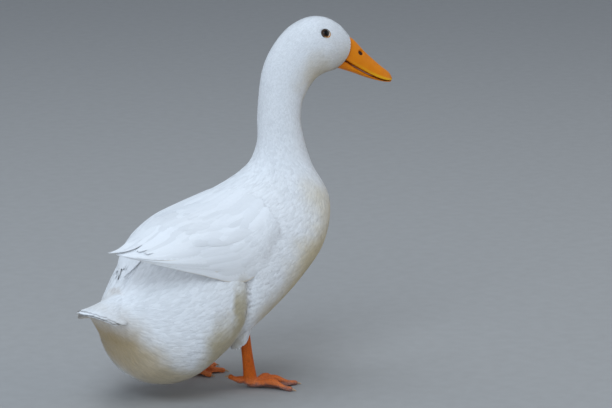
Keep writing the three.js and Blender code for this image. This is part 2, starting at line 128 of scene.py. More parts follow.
def add_node(material, kind, inputs, **settings):
    """A node with its settings, whose inputs are numbers or other nodes' outputs. Returns its outputs."""
    node = material.node_tree.nodes.new("ShaderNode" + kind)
    for key, value in settings.items():
        setattr(node, key, value)
    for key, value in inputs.items():
        if isinstance(value, bpy.types.NodeSocket):
            material.node_tree.links.new(value, node.inputs[key])
        else:
            node.inputs[key].default_value = value
    return node.outputs


def mixed(material, factor, first, second):
    """A colour between two others."""
    return add_node(material, "Mix", {"Factor": factor, "A": first, "B": second}, data_type="RGBA")["Result"]


def graded(material, value, start, end, most=1.0):
    """A soft step from nothing at the start to the most at the end."""
    return add_node(material, "MapRange", {"Value": value, "From Min": start, "From Max": end,
                    "To Max": most}, interpolation_type="SMOOTHSTEP")["Result"]


def speckle(material, place, scale, detail, roughness=0.5):
    """Cloudy noise, between nothing and one."""
    return add_node(material, "TexNoise", {"Vector": place, "Scale": scale, "Detail": detail,
                    "Roughness": roughness})["Fac"]


def feed(material, output, shader, socket):
    """Joins an output to one of the shader's inputs."""
    material.node_tree.links.new(output, shader.inputs[socket])


def store(piece, name, values):
    """Keeps three numbers at each point of a mesh, for its finish to read."""
    piece.data.attributes.new(name, "FLOAT_VECTOR", "POINT").data.foreach_set("vector", values.ravel())


def stored(material, name):
    """The three numbers kept at each point, one by one."""
    vector = add_node(material, "Attribute", {}, attribute_name=name)["Vector"]
    return add_node(material, "SeparateXYZ", {"Vector": vector})


floor_half = 9000
floor_points = [(-floor_half, -floor_half, 0), (floor_half, -floor_half, 0),
                (floor_half, floor_half, 0), (-floor_half, floor_half, 0)]
floor = add_mesh("floor", floor_points, quads=[(0, 1, 2, 3)])
floor_material, floor_shader, place = new_material("matt_floor", (0.5, 0.5, 0.49), roughness=0.9)
floor_grain = speckle(floor_material, place, 60.0, 4.0)
floor_tone = mixed(floor_material, floor_grain, (0.35, 0.34, 0.33, 1), (0.4, 0.395, 0.385, 1))
feed(floor_material, floor_tone, floor_shader, "Base Color")
floor.data.materials.append(floor_material)

# Skin. The bird's hide, thin and pale under the plumage: one unbroken surface over trunk, neck,
# head, thighs and the fleshy part of each wing, sunk below the outline by the depth of the coat.
# Stations run from tail to face: back x z, belly x z, half width, widest line as a share from
# below, roundness above and below, turn about the neck's line.
body_stations = np.array([
    [-157, 112, -160, 94, 22, 0.5, 2, 2, 0],
    [-136, 120, -138, 61, 33, 0.48, 2, 2, 0],
    [-110, 141, -112, 25, 58, 0.46, 2, 2, 0],
    [-74, 174, -72, 14.5, 79, 0.44, 2, 2.1, 0],
    [-24, 197, -20, 38, 83, 0.44, 2, 2.1, 0],
    [20, 211, 28, 62, 83, 0.44, 1.9, 2.1, 0],
    [51, 222, 85, 93, 77, 0.42, 1.8, 2, 0],
    [66, 230, 133, 130, 68, 0.42, 1.7, 2, 0],
    [76, 241, 156, 180, 52, 0.42, 1.6, 2, 0],
    [81, 259, 142, 226, 32, 0.5, 1.7, 2, -3],
    [82, 283, 130, 266, 26.5, 0.5, 2, 2, -8],
    [83, 306, 130, 291, 25, 0.5, 2, 2, -15],
    [87, 334, 136, 307, 25, 0.5, 2, 2, -22],
    [97, 357, 146, 322, 26, 0.5, 2, 2, -27],
    [115, 379, 155.5, 328, 28, 0.5, 2, 2, -27],
    [137, 390.7, 162.5, 330, 28, 0.5, 2, 2, -27],
    [157, 391, 166.5, 331, 25, 0.48, 2, 2, -27],
    [174, 382.5, 169, 331.8, 19.5, 0.46, 2, 2, -27],
    [186, 369.8, 171, 333, 13.4, 0.46, 2, 2, -27],
])
last_station = len(body_stations) - 1
neck_line_x = 105
head_turn = -27
crease_station = 4.12


def smooth_curve(rows, t):
    """Catmull-Rom curve through the rows, with t counted in rows."""
    rows = np.asarray(rows, float)
    padded = np.vstack([2 * rows[0] - rows[1], rows, 2 * rows[-1] - rows[-2]])
    i = np.clip(np.floor(t).astype(int), 0, len(rows) - 2)
    f = (t - i)[..., None]
    p0, p1, p2, p3 = (padded[i + k] for k in range(4))
    return 0.5 * (2 * p1 + (p2 - p0) * f + (2 * p0 - 5 * p1 + 4 * p2 - p3) * f**2
                  + (3 * p1 - p0 - 3 * p2 + p3) * f**3)


def signed_power(value, power):
    """A power of the size of a number, with the number's sign."""
    return np.sign(value) * np.abs(value) ** power


def turned(along, side, height, turn=head_turn):
    """A point of an upright plane through the neck's line, turned about that line by degrees."""
    c, s = np.cos(np.radians(turn)), np.sin(np.radians(turn))
    reach = along - neck_line_x
    return np.stack(np.broadcast_arrays(
        neck_line_x + reach * c + side * s, reach * s - side * c, height), axis=-1)


def body_at(t, a):
    """Superellipse sections strung from belly point to back point; a goes from the back to the right.
    A groove parts the abdomen from the flank, and the cheek bulges a little over the bill's root."""
    backx, backz, bellyx, bellyz, half, widest, up, down, turn = np.moveaxis(
        smooth_curve(body_stations, t), -1, 0)
    bill_start, bill_lobe = 16.2, 5
    groove = 0.04 * np.exp(-((t - crease_station) / 0.2) ** 2)
    groove = groove + 0.07 * np.exp(-((t - crease_station) / 0.08) ** 2) * np.sin(a) ** 2
    depth = np.hypot(backx - bellyx, backz - bellyz)
    power = 2 / np.where(np.cos(a) > 0, up, down)
    tall = depth * np.where(np.cos(a) > 0, 1 - widest, widest)
    rise = widest * depth + signed_power(np.cos(a), power) * tall
    side = signed_power(np.sin(a), power) * half * (1 - groove)
    lobe = bill_lobe * np.sin(a) ** 2 * np.clip((t - bill_start) / 1.8, 0, 1)
    return turned(bellyx + (backx - bellyx) / depth * rise + lobe, side,
                  bellyz + (backz - bellyz) / depth * rise, turn)


def run_on(surface, p_ends, q_ends=(-1e9, 1e9)):
    """The same surface, run on straight past its ends."""
    tiny = 1e-3

    def longer(p, q):
        """The surface at p and q, straight beyond the ends."""
        pc, qc = np.clip(p, *p_ends), np.clip(q, *q_ends)
        here = surface(pc, qc)
        past_p = here - surface(pc - np.sign(p - pc) * tiny, qc)
        past_q = here - surface(pc, qc - np.sign(q - qc) * tiny)
        return (here + past_p * (np.abs(p - pc) / tiny)[..., None]
                + past_q * (np.abs(q - qc) / tiny)[..., None])
    return longer


def tangents(surface, p, q, facing):
    """Points of a surface, its two slopes there and its outward normal, by small differences."""
    tiny = 0.01
    slope_p = (surface(p + tiny, q) - surface(p - tiny, q)) / (2 * tiny)
    slope_q = (surface(p, q + tiny) - surface(p, q - tiny)) / (2 * tiny)
    normal = facing * np.cross(slope_p, slope_q)
    normal /= np.maximum(np.linalg.norm(normal, axis=-1, keepdims=True), 1e-9)
    return surface(p, q), slope_p, slope_q, normal


def tube_faces(rings, points, first=0):
    """Quads round a stack of closed rings."""
    i, j = np.meshgrid(np.arange(rings - 1), np.arange(points), indexing="ij")
    k = (j + 1) % points
    quads = np.stack([i * points + j, i * points + k, (i + 1) * points + k, (i + 1) * points + j], -1)
    return quads.reshape(-1, 4) + first


def closed_tube(rings):
    """A stack of closed rings with a fan over each end: points, quads and triangles."""
    count, around = rings.shape[:2]
    points = np.vstack([rings.reshape(-1, 3), rings[0].mean(0), rings[-1].mean(0)])
    j = np.arange(around)
    k = (j + 1) % around
    last = (count - 1) * around
    low = np.stack([k, j, np.full(around, count * around)], -1)
    high = np.stack([last + j, last + k, np.full(around, count * around + 1)], -1)
    return points, tube_faces(count, around), np.vstack([low, high])


def closed_sheet(outer, inner):
    """A closed shell between two grids of the same size: points and quads."""
    rows, columns = outer.shape[:2]
    under = rows * columns
    number = np.arange(under).reshape(rows, columns)
    top = np.stack([number[:-1, :-1], number[:-1, 1:], number[1:, 1:], number[1:, :-1]], -1).reshape(-1, 4)
    rim = np.concatenate([number[0, :-1], number[:-1, -1], number[-1, :0:-1], number[:0:-1, 0]])
    after = np.roll(rim, -1)
    wall = np.stack([after, rim, rim + under, after + under], -1)
    points = np.vstack([outer.reshape(-1, 3), inner.reshape(-1, 3)])
    return points, np.vstack([top, top[:, ::-1] + under, wall])


def one_surface(name, shapes, voxel, passes, lowest=-np.inf):
    """Closed shapes melted into one mesh by a voxel remesh, then relaxed. Nothing is below the lowest."""
    points, quads, triangles = [], [], []
    first = 0
    for shape in shapes:
        at = shape[0].copy()
        at[:, 2] = np.maximum(at[:, 2], lowest)
        points.append(at)
        quads.append(shape[1] + first)
        if len(shape) > 2:
            triangles.append(shape[2] + first)
        first += len(at)
    piece = add_mesh(name, np.vstack(points), np.vstack(quads), np.vstack(triangles))
    voxels = piece.modifiers.new("one_surface", "REMESH")
    voxels.mode = "VOXEL"
    voxels.voxel_size = voxel
    voxels.use_smooth_shade = True
    relax = piece.modifiers.new("relax", "SMOOTH")
    relax.factor = 0.5
    relax.iterations = passes
    joined = bpy.data.meshes.new_from_object(piece.evaluated_get(bpy.context.evaluated_depsgraph_get()))
    piece.modifiers.clear()
    piece.data = joined
    return piece


def skin_depth(t):
    """Depth of the coat, deep on the trunk and thin on the head."""
    return np.interp(t, [0, 7, 10, 13, 16, 18], [2.0, 2.0, 1.6, 1.3, 1.0, 0.8])


body_surface = run_on(body_at, (0.02, last_station - 0.02))
station, round_body = np.meshgrid(np.linspace(0.03, last_station - 0.03, 240),
                                  np.linspace(0, 2 * np.pi, 96, endpoint=False), indexing="ij")
here, _, _, outward = tangents(body_surface, station, round_body, -1)
trunk_skin = closed_tube(here - outward * skin_depth(station)[..., None])

# Folded wing as a quarter of a rounded square, falling from the seam on the back to its edge.
wing_lines = {
    "right": (-1, [[26, -0.8, 214], [-6, -0.8, 206], [-52, -0.8, 199.5], [-89, -2, 194.5],
                   [-115, -5, 183], [-140, -8, 173.5], [-163, -10, 172.5]],
              [[35, -72, 174], [8.5, -80, 154], [-23.5, -79.5, 140], [-55, -75, 141], [-82, -70, 148],
               [-124, -52.5, 160], [-163, -13, 172.5]]),
    "left": (1, [[26, 0.8, 212.3], [-6, 0.8, 205], [-46, 0.8, 194], [-71, 1.5, 178.5], [-91, 2, 160],
                 [-111, 3, 144.5], [-128, 5, 135]],
             [[30, 72, 172.5], [4, 79.5, 153], [-32, 79, 141], [-60, 74, 136.5], [-85, 57, 133],
              [-109, 30, 130], [-129, 9, 131.5]]),
}
flesh_end, vane_depth = 0.9, 2.6
wing_surfaces = {}
wing_shells = []
for side, (sign, seam, edge) in wing_lines.items():
    def wing_at(u, v, seam=seam, edge=edge):
        """The outer face: u from shoulder to tip, v from seam to lower edge, and mirrored past the seam."""
        top = smooth_curve(seam, u * (len(seam) - 1))
        low = smooth_curve(edge, u * (len(edge) - 1))
        a = np.clip(np.abs(v), 0, 1) * np.pi / 2
        rounding = 1.15 - 0.23 * np.clip(u / 0.3, 0, 1)
        fall = np.stack([np.clip(np.abs(v), 0, 1), np.sin(a) ** rounding, 1 - np.cos(a) ** rounding], -1)
        fall[..., 1] *= np.where(v < 0, -1, 1)
        return top + (low - top) * fall
    surface = run_on(wing_at, (0.0, 1.0), (-0.98, 0.98))
    wing_surfaces[side] = (surface, -sign)
    u, v = np.meshgrid(np.linspace(0, flesh_end, 60), np.linspace(0, 1, 24), indexing="ij")
    here, _, _, outward = tangents(surface, u, v, -sign)
    thick = 1.5 + 8 * np.sqrt(np.clip(np.sin(np.pi * u / flesh_end) * np.sin(np.pi * v), 0, 1))
    wing_shells.append(closed_sheet(here - outward * vane_depth,
                                    here - outward * (vane_depth + thick[..., None])))

# Thigh. A feathered cone round the hock, whose lower rim slants up to the front.
# Each level has its height, half length, half breadth and slant.
thigh_levels = [[55, 10.6, 10, 0.45], [62, 12.8, 12.4, 0.4], [72, 16, 15, 0.2],
                [86, 19, 18, 0], [104, 24, 24, 0]]
hock_x = {"right": 0.5, "left": -14.5}
hock_y = {"right": -48, "left": 48}
thigh_surfaces = {}
thigh_skins = []
for side in ("right", "left"):
    def thigh_at(h, a, x=hock_x[side] - 3.3, y=hock_y[side]):
        """Ellipses stacked from the rim up, h counted in levels."""
        z, wide, deep, slant = np.moveaxis(smooth_curve(thigh_levels, h), -1, 0)
        forward = wide * np.cos(a)
        return np.stack([x + forward, y + deep * np.sin(a), z + slant * forward], -1)
    thigh_surfaces[side] = run_on(thigh_at, (0, 4))
    level, angle = np.meshgrid(np.linspace(0.1, 4, 24), np.linspace(0, 2 * np.pi, 32, endpoint=False),
                               indexing="ij")
    here, _, _, outward = tangents(thigh_surfaces[side], level, angle, -1)
    thigh_skins.append(closed_tube(here - outward * 1.5))


# Tail's flesh. A wedge inside the fan, turned a few degrees to the bird's right.
fan_length, corner_shortening = 56, 24
fan_root_x, fan_root_z = -134, 122
fan_turn = np.radians(7)


def fan_reach(v):
    """Length of the fan, longest at its middle vane and shortened towards its corners."""
    return fan_length - corner_shortening * np.abs(2 * v - 1) ** 1.8


def tail_at(u, v):
    """The fan's upper face: u from root to tip, v from the left corner to the right."""
    across = 2 * v - 1
    half = (30 - 5 * (1 - u)) * across
    drop = 13 * (2 - u) * np.abs(across) ** 2.2 + 16 * u - 7 * u * u
    c, s = np.cos(fan_turn), np.sin(fan_turn)
    x = -fan_reach(v) * u
    return np.stack([x * c - half * s + fan_root_x, x * s + half * c, fan_root_z - drop], -1)


tail_surface = run_on(tail_at, (0.0, 1.0), (0.0, 1.0))
u, v = np.meshgrid(np.linspace(-0.3, 1.01, 40), np.linspace(0.03, 0.97, 40), indexing="ij")
here, _, _, outward = tangents(tail_surface, u, v, -1)
tail_core = closed_sheet(here - outward * 0.9, here - outward * (3.2 + 7 * (1.01 - u[..., None])))

skin = one_surface("skin", [trunk_skin, *thigh_skins, *wing_shells, tail_core], voxel=0.0024, passes=4)
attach(skin, "root")
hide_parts("trunk", "abdomen", "rump", "neck", "head", "thigh_right", "thigh_left",
            "wing_right", "wing_left")

# Plumage finish. White down-soft vanes with a slight painted blue of sky light, soiled where the bird
# dabbles and sits: cream on throat and breast, brown under the tail, olive between the legs. Under the
# head, under the tail and in the groove behind the thigh these tints are partly painted shade. Skin and
# feathers share these markings.
# The white carries a slight painted blue of sky light.
sky_blued_white = (0.86, 0.875, 0.9)
soil_and_shade = [
    # middle and radii in millimetres, colour, strength
    # Throat and neck front: cream soiling, partly painted shade under the head.
    ((150, -26, 328), (48, 38, 32), (0.62, 0.5, 0.31, 1), 0.75),
    ((134, -14, 285), (18, 26, 60), (0.58, 0.5, 0.36, 1), 0.45),
    ((120, -44, 158), (48, 52, 62), (0.66, 0.52, 0.26, 1), 0.65),
    ((84, -54, 126), (64, 48, 42), (0.62, 0.48, 0.22, 1), 0.8),
    ((48, -50, 96), (60, 48, 36), (0.54, 0.41, 0.18, 1), 0.85),
    ((104, 0, 98), (56, 60, 44), (0.6, 0.46, 0.2, 1), 0.6),
    # Groove between abdomen and thigh, and behind the thigh: olive soiling, partly painted shade in the
    # groove.
    ((-28, -80, 88), (12, 18, 46), (0.4, 0.32, 0.15, 1), 0.8),
    ((-48, -70, 58), (34, 30, 40), (0.42, 0.33, 0.15, 1), 0.85),
    ((-16, -48, 60), (10, 24, 16), (0.4, 0.32, 0.16, 1), 0.6),
    ((-78, -40, 22), (80, 60, 30), (0.46, 0.36, 0.19, 1), 0.85),
    # Under the tail: brown soiling, partly painted shade under the fan.
    ((-147, 12, 62), (52, 68, 54), (0.45, 0.32, 0.15, 1), 1.0),
    ((-124, -20, 44), (46, 50, 40), (0.56, 0.44, 0.26, 1), 0.7),
    ((-129, 11, 123), (7, 12, 9), (0.5, 0.38, 0.26, 1), 0.3),
]


def plumage_material(name, barbs=0.0, tint=None):
    """White with the soiling and painted shade, blurred by noise; barbs is how closely the ribs lie along
    each vane.
    """
    material, shader, place = new_material(name, sky_blued_white, 0.72, 0.25)
    shader.inputs["Sheen Weight"].default_value = 0.25
    shader.inputs["Sheen Roughness"].default_value = 0.6
    drift = add_node(material, "TexNoise", {"Vector": place, "Scale": 22.0, "Detail": 5.0, "Roughness": 0.6})
    shifted = add_node(material, "VectorMath", {0: drift["Color"], 1: (0.5, 0.5, 0.5)}, operation="SUBTRACT")
    scaled = add_node(material, "VectorMath", {0: shifted[0], "Scale": 0.05}, operation="SCALE")
    wandering = add_node(material, "VectorMath", {0: place, 1: scaled[0]}, operation="ADD")[0]
    cloud = speckle(material, place, 14.0, 6.0, 0.65)
    # Cloudy tone between two whites, each with a slight painted blue of sky light.
    colour = mixed(material, cloud, (0.83, 0.85, 0.885, 1), (0.9, 0.905, 0.91, 1))
    for middle, radii, soil_and_shade_tone, strength in soil_and_shade:
        centre = tuple((np.array(middle) - cad_middle) * 0.001)
        size = tuple(np.array(radii) * 0.001)
        away = add_node(material, "VectorMath", {0: wandering, 1: centre}, operation="SUBTRACT")[0]
        ratio = add_node(material, "VectorMath", {0: away, 1: size}, operation="DIVIDE")[0]
        reach = add_node(material, "VectorMath", {0: ratio}, operation="LENGTH")["Value"]
        # Each tint is soiling, and in the places marked above partly painted shade.
        soil_and_shade_mask = graded(material, reach, 1.25, 0.3, strength)
        colour = mixed(material, soil_and_shade_mask, colour, soil_and_shade_tone)
    if tint:
        colour = mixed(material, tint(material), colour, (0.62, 0.48, 0.3, 1))
    if barbs:
        axes = stored(material, "vane")
        grey = add_node(material, "MapRange", {"Value": axes["Z"], "To Min": 0.9, "To Max": 1.04})["Result"]
        colour = add_node(material, "VectorMath", {0: colour, "Scale": grey}, operation="SCALE")[0]
    feed(material, colour, shader, "Base Color")
    if barbs:
        outwards = add_node(material, "Math", {0: axes["Y"]}, operation="ABSOLUTE")[0]
        slanted = add_node(material, "Math", {0: outwards, 1: -0.45, 2: axes["X"]},
                           operation="MULTIPLY_ADD")[0]
        phase = add_node(material, "Math", {0: slanted, 1: barbs}, operation="MULTIPLY")[0]
        wave = add_node(material, "Math", {0: phase}, operation="SINE")[0]
        rib = add_node(material, "Bump", {"Height": wave, "Strength": 0.22, "Distance": 0.0004})
        feed(material, rib["Normal"], shader, "Normal")
    else:
        down = speckle(material, place, 900.0, 3.0)
        fluff = add_node(material, "Bump", {"Height": down, "Strength": 0.3, "Distance": 0.0006})
        feed(material, fluff["Normal"], shader, "Normal")
    return material


skin_material = plumage_material("downy_skin")
skin.data.materials.append(skin_material)


# Contour feathers. Small overlapping vanes that clothe the whole bird, smallest on the face, each
# rooted under the tips of those before it and lying back along the body.
def vane_template(stops, across):
    """One closed vane: a root point, flat rings of points at the stops, and a tip point.
    Each point has its place along, its place across, and whether it is on the upper face."""
    ring = [(y, 1) for y in np.linspace(-1, 1, across)] + [(0.0, 0)]
    rows = [(0.0, 0.0, 1)] + [(x, y, top) for x in stops for y, top in ring] + [(1.0, 0.0, 1)]
    count = len(ring)
    faces = tube_faces(len(stops), count, 1)
    j = np.arange(count)
    k = (j + 1) % count
    start = np.stack([k + 1, j + 1, np.zeros(count, int)], -1)
    last = 1 + (len(stops) - 1) * count
    end = np.stack([last + j, last + k, np.full(count, last + count)], -1)
    return np.array(rows), faces[:, ::-1], np.vstack([start, end])[:, ::-1]


def vane_outline(x, blunt=0.5):
    """Half width along a vane: narrow at the root, full past the middle, round at the tip."""
    return np.clip(x / 0.3, 0.35, 1) ** 0.6 * np.clip(1 - x, 0, 1) ** blunt / 0.85


def lay_feathers(surface, facing, p, q, lie, length, width, sink, lift, template, rng,
                 forward=1, tilt=0.08, camber=0.12, blunt=0.5, tuck=0.35):
    """Vanes draped over a surface from their roots p, q. The lie is an angle from the direction of
    growing (or falling) p. Returns points, normals and each point's place on its vane."""
    x, y, top = (column[None, :] for column in template[0].T)
    _, slope_p, slope_q, normal = tangents(surface, p, q, facing)
    ahead = forward * slope_p
    ahead /= np.linalg.norm(ahead, axis=-1, keepdims=True)
    across = np.cross(normal, ahead)
    turn = lie[:, None]
    way = ahead * np.cos(turn) + across * np.sin(turn)
    aside = np.cross(normal, way)
    pp, pq, qq = (np.sum(a * b, -1) for a, b in ((slope_p, slope_p), (slope_p, slope_q), (slope_q, slope_q)))
    room = np.maximum(pp * qq - pq**2, 1e-6)

    def in_surface(vector):
        """Steps of p and q that together make the vector."""
        vp, vq = np.sum(vector * slope_p, -1), np.sum(vector * slope_q, -1)
        return (vp * qq - vq * pq) / room, (vq * pp - vp * pq) / room

    way_p, way_q = in_surface(way)
    side_p, side_q = in_surface(aside)
    reach = x * length[:, None]
    spread = y * vane_outline(x, blunt) * width[:, None] / 2
    at_p = p[:, None] + reach * way_p[:, None] + spread * side_p[:, None]
    at_q = q[:, None] + reach * way_q[:, None] + spread * side_q[:, None]
    here, _, _, up = tangents(surface, at_p, at_q, facing)
    thick = 0.12 + 0.006 * width[:, None]
    height = -sink[:, None] + (sink + lift)[:, None] * x**0.8
    height = height - camber * np.abs(y) ** 2 * width[:, None] * 0.5 - thick * (1 - top)
    height = height - tuck * np.clip((x - 0.78) / 0.22, 0, 1) ** 2
    points = here + up * height[..., None]
    lean = rng.normal(0, tilt, (len(p), 2))
    bent = up + aside[:, None, :] * (lean[:, :1] + y * 0.22)[..., None] + way[:, None, :] * lean[:, 1:, None]
    bent /= np.linalg.norm(bent, axis=-1, keepdims=True)
    place = np.stack(np.broadcast_arrays(x, y, rng.random((len(p), 1))), -1)
    return points, bent, place


def feather_piece(name, batches, material, stands_for=()):
    """One mesh of many vanes. Its bake map gives each vane a small patch at its root's place."""
    points, normals, places, quads, triangles, patches = [], [], [], [], [], []
    first = 0
    for template, (at, bent, place), u, v in batches:
        count, each = at.shape[:2]
        offset = (first + np.arange(count) * each)[:, None, None]
        quads.append((template[1][None] + offset).reshape(-1, 4))
        triangles.append((template[2][None] + offset).reshape(-1, 3))
        points.append(at.reshape(-1, 3))
        normals.append(bent.reshape(-1, 3))
        places.append(place.reshape(-1, 3))
        patch = 0.003 * (place[..., :2] * [1, 0.5] - [0.5, 0])
        patches.append((np.stack([u, v], -1)[:, None, :] * 0.99 + 0.005 + patch).reshape(-1, 2))
        first += count * each
    piece = add_mesh(name, np.vstack(points), np.vstack(quads), np.vstack(triangles))
    mesh = piece.data
    store(piece, "vane", np.vstack(places))
    corner = np.zeros(len(mesh.loops), np.int32)
    mesh.loops.foreach_get("vertex_index", corner)
    bake = mesh.uv_layers.new(name="OFBake")
    bake.data.foreach_set("uv", np.vstack(patches)[corner].ravel())
    flat = np.zeros(len(mesh.polygons) * 3)
    mesh.polygons.foreach_get("normal", flat)
    sides = np.zeros(len(mesh.polygons), np.int32)
    mesh.polygons.foreach_get("loop_total", sides)
    soft = np.vstack(normals)[corner]
    over = np.sum(soft * np.repeat(flat.reshape(-1, 3), sides, axis=0), -1, keepdims=True) > -0.5
    mesh.normals_split_custom_set(np.where(over, soft, -soft))
    mesh.materials.append(material)
    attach(piece, "root")
    if stands_for:
        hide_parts(*stands_for)
    return piece


def scatter(count, p_range, q_range, density, grid=160):
    """Evenly spread places on p and q by a golden lattice, thickened where the density says."""
    golden = np.arange(1, count + 1)[:, None] * np.array([0.7548776662, 0.5698402910]) % 1
    p_grid = np.linspace(*p_range, grid)
    q_grid = np.linspace(*q_range, grid)
    weight = density(*np.meshgrid(p_grid, q_grid, indexing="ij")) + 1e-9
    rows = np.cumsum(weight.sum(1))
    p = np.interp(golden[:, 0] * rows[-1], np.concatenate([[0], rows]), np.linspace(*p_range, grid + 1))
    row = np.clip(np.searchsorted(p_grid, p), 0, grid - 1)
    cumulative = np.cumsum(weight, 1)[row]
    target = golden[:, 1:] * cumulative[:, -1:]
    column = np.clip((cumulative < target).sum(1), 0, grid - 1)
    before = np.where(column > 0, cumulative[np.arange(count), column - 1], 0)
    share = (target[:, 0] - before) / (cumulative[np.arange(count), column] - before)
    q = q_range[0] + (column + share) / grid * (q_range[1] - q_range[0])
    return p, q


def feather_length(t):
    """Length of a contour feather by station."""
    return np.interp(t, [0, 3, 6, 8, 9, 10, 12, 14, 16, 18], [24, 24, 20, 15, 11, 9, 6.5, 4.6, 3.4, 2.2])


def feather_width(t):
    """Breadth of a contour feather by station."""
    return np.interp(t, [0, 3, 6, 8, 9, 10, 12, 14, 16, 18], [7, 7, 6.4, 5, 3.6, 3, 2.2, 1.7, 1.4, 1.0])


def body_density(t, a):
    """Vanes to an area, falling with the size of the feather."""
    _, slope_t, slope_a, _ = tangents(body_surface, t, a, -1)
    area = np.linalg.norm(np.cross(slope_t, slope_a), axis=-1)
    return area / (feather_length(t) * feather_width(t))


# The cloak. Where the breast, back and flank feathers run over the front of the wing, the surface
# they lie on rises from the body to the wing in one sweep.
wing_trees = []
for side, (surface, facing) in wing_surfaces.items():
    u, v = np.meshgrid(np.linspace(0, 1, 60), np.linspace(0, 1, 30), indexing="ij")
    grid = surface(u, v)
    number = np.arange(grid.shape[0] * grid.shape[1]).reshape(grid.shape[:2])
    cells = np.stack([number[:-1, :-1], number[:-1, 1:], number[1:, 1:], number[1:, :-1]], -1).reshape(-1, 4)
    wing_trees.append(BVHTree.FromPolygons(grid.reshape(-1, 3).tolist(), cells.tolist()))


def over_wing(points, normals, reach=34):
    """Distance from each body point out to a wing that lies over it, and the place it meets; 0 if none."""
    rise, place = np.zeros(len(points)), np.array(points, float)
    for number, (at, out) in enumerate(zip(points, normals)):
        for tree in wing_trees:
            met, _, _, far = tree.ray_cast(Vector(at - out), Vector(out), reach)
            if met is not None and far - 1 > rise[number]:
                rise[number], place[number] = max(far - 1, 0.01), met
    return rise, place


def coat_margin(met):
    """How far a place on the wing lies ahead of the line where the body's coat gives way to the wing's."""
    return met[..., 0] - np.interp(met[..., 2], [135, 165, 185, 205], [-8, 0, 2, 8])


cloak_t, cloak_a = np.linspace(3.8, 9.0, 131), np.linspace(0, 2 * np.pi, 180, endpoint=False)
here, _, _, outward = tangents(body_surface, *np.meshgrid(cloak_t, cloak_a, indexing="ij"), -1)
bare_rise, met = over_wing(here.reshape(-1, 3), outward.reshape(-1, 3))
bare_rise = bare_rise.reshape(here.shape[:2])


def smoothed(grid, passes):
    """Each place of the grid averaged with its eight neighbours, as often as the passes say."""
    rows = len(grid)
    for _ in range(passes):
        held = np.vstack([grid[:1], grid, grid[-1:]])
        grid = np.mean([np.roll(held[i:i + rows], j, 1) for i in (0, 1, 2) for j in (-1, 0, 1)], axis=0)
    return grid


sweep_length = 26
swept = np.clip(coat_margin(met).reshape(here.shape[:2]) / sweep_length, 0, 1) ** 2
wide_rise = smoothed(bare_rise, passes=14)
over_front = np.maximum(wide_rise, bare_rise) - bare_rise
cloak_grid = smoothed(np.where(bare_rise > 0, bare_rise + over_front * swept, wide_rise), passes=2)
cloak_start, cloak_end = 3.9, 8.7
fade = np.clip((cloak_end - cloak_t) / 0.9, 0, 1) * np.clip((cloak_t - cloak_start) / 0.45, 0, 1)
cloak_grid = cloak_grid * fade[:, None]


def cloak_at(t, a):
    """The body's surface lifted by the smoothed rise of the wings, read between the grid's points."""
    row = np.clip((t - cloak_t[0]) / (cloak_t[1] - cloak_t[0]), 0, len(cloak_t) - 1.001)
    column = (a / (2 * np.pi) % 1) * len(cloak_a)
    i, j = row.astype(int), column.astype(int) % len(cloak_a)
    k = (j + 1) % len(cloak_a)
    f, g = row - i, column - column.astype(int)
    rise = (cloak_grid[i, j] * (1 - f) * (1 - g) + cloak_grid[i + 1, j] * f * (1 - g)
            + cloak_grid[i, k] * (1 - f) * g + cloak_grid[i + 1, k] * f * g)
    here, _, _, outward = tangents(body_surface, t, a, -1)
    return here + outward * rise[..., None]


small_vane = vane_template([0.4, 0.8], 3)
body_vane = vane_template([0.2, 0.5, 0.78, 0.93], 3)
feather_material = plumage_material("contour_feathers", barbs=60)
bare_ring, touching, root_share = 7.3, 3, 0.55
eye_middle = {side: turned(151.2, sign * 18.9, 374.0) for side, sign in (("right", 1), ("left", -1))}
rng = np.random.default_rng(11)
for name, t_range, count, template in [
    ("coat_face", (13.6, 17.97), 9500, small_vane),
    ("coat_nape", (12.0, 13.7), 6500, small_vane),
    ("coat_neck", (8.7, 12.1), 9000, small_vane),
    ("coat_breast", (6.0, 8.8), 5800, body_vane),
    ("coat_flank", (4.05, 6.1), 6200, body_vane),
    ("coat_abdomen", (1.4, 5.0), 7200, body_vane),
    ("coat_rump", (0.0, 1.5), 2400, body_vane),
]:
    t, a = scatter(count, t_range, (0, 2 * np.pi), body_density)
    here, _, _, outward = tangents(body_surface, t, a, -1)
    keep = np.ones(count, bool)
    surface = body_surface
    if t_range[0] < 8:
        rise, met = over_wing(here, outward)
        under_wing = (rise > touching) & (coat_margin(met) <= 0)
        if t_range[0] < 4:
            keep &= under_wing | ((rise == 0) & (t < crease_station))
        else:
            keep &= (rise == 0) | (coat_margin(met) > 0)
    if 4 < t_range[0] < 8:
        surface = cloak_at
    for middle in eye_middle.values():
        keep &= np.linalg.norm(here - middle, axis=-1) > bare_ring
    t, a = t[keep], a[keep]
    many = len(t)
    length = feather_length(t) * rng.uniform(0.8, 1.2, many) * np.clip(0.35 + 0.6 * t, 0, 1)
    width = feather_width(t) * rng.uniform(0.85, 1.2, many)
    depth = skin_depth(t)
    vanes = lay_feathers(surface, -1, t, a, rng.normal(0, 0.12, many), length, width,
                         depth * root_share, rng.uniform(-0.1, 0.1, many), template, rng,
                         forward=-1, tilt=0.05, camber=0.05)
    feather_piece(name, [(template, vanes, t / last_station, a / (2 * np.pi))], feather_material)

# Folded wings. Stiff quills and their coverts, each vane closing over the next: primaries and
# secondaries along the lower edge, three ranks of coverts, long tertials, and the scapulars on top.
quill_vane = vane_template([*np.linspace(0.04, 0.9, 18), 0.94, 0.975], 7)
covert_vane = vane_template([*np.linspace(0.1, 0.88, 8), 0.95], 5)


def edge_tint(material):
    """Cream along the outer edges of the quills and at their tips."""
    vane = stored(material, "vane")
    rim = add_node(material, "Math", {0: vane["Y"]}, operation="ABSOLUTE")[0]
    return graded(material, rim, 0.72, 1.0, 0.55)


wing_material = plumage_material("wing_vanes", barbs=150)
quill_material = plumage_material("quill_vanes", barbs=190, tint=edge_tint)
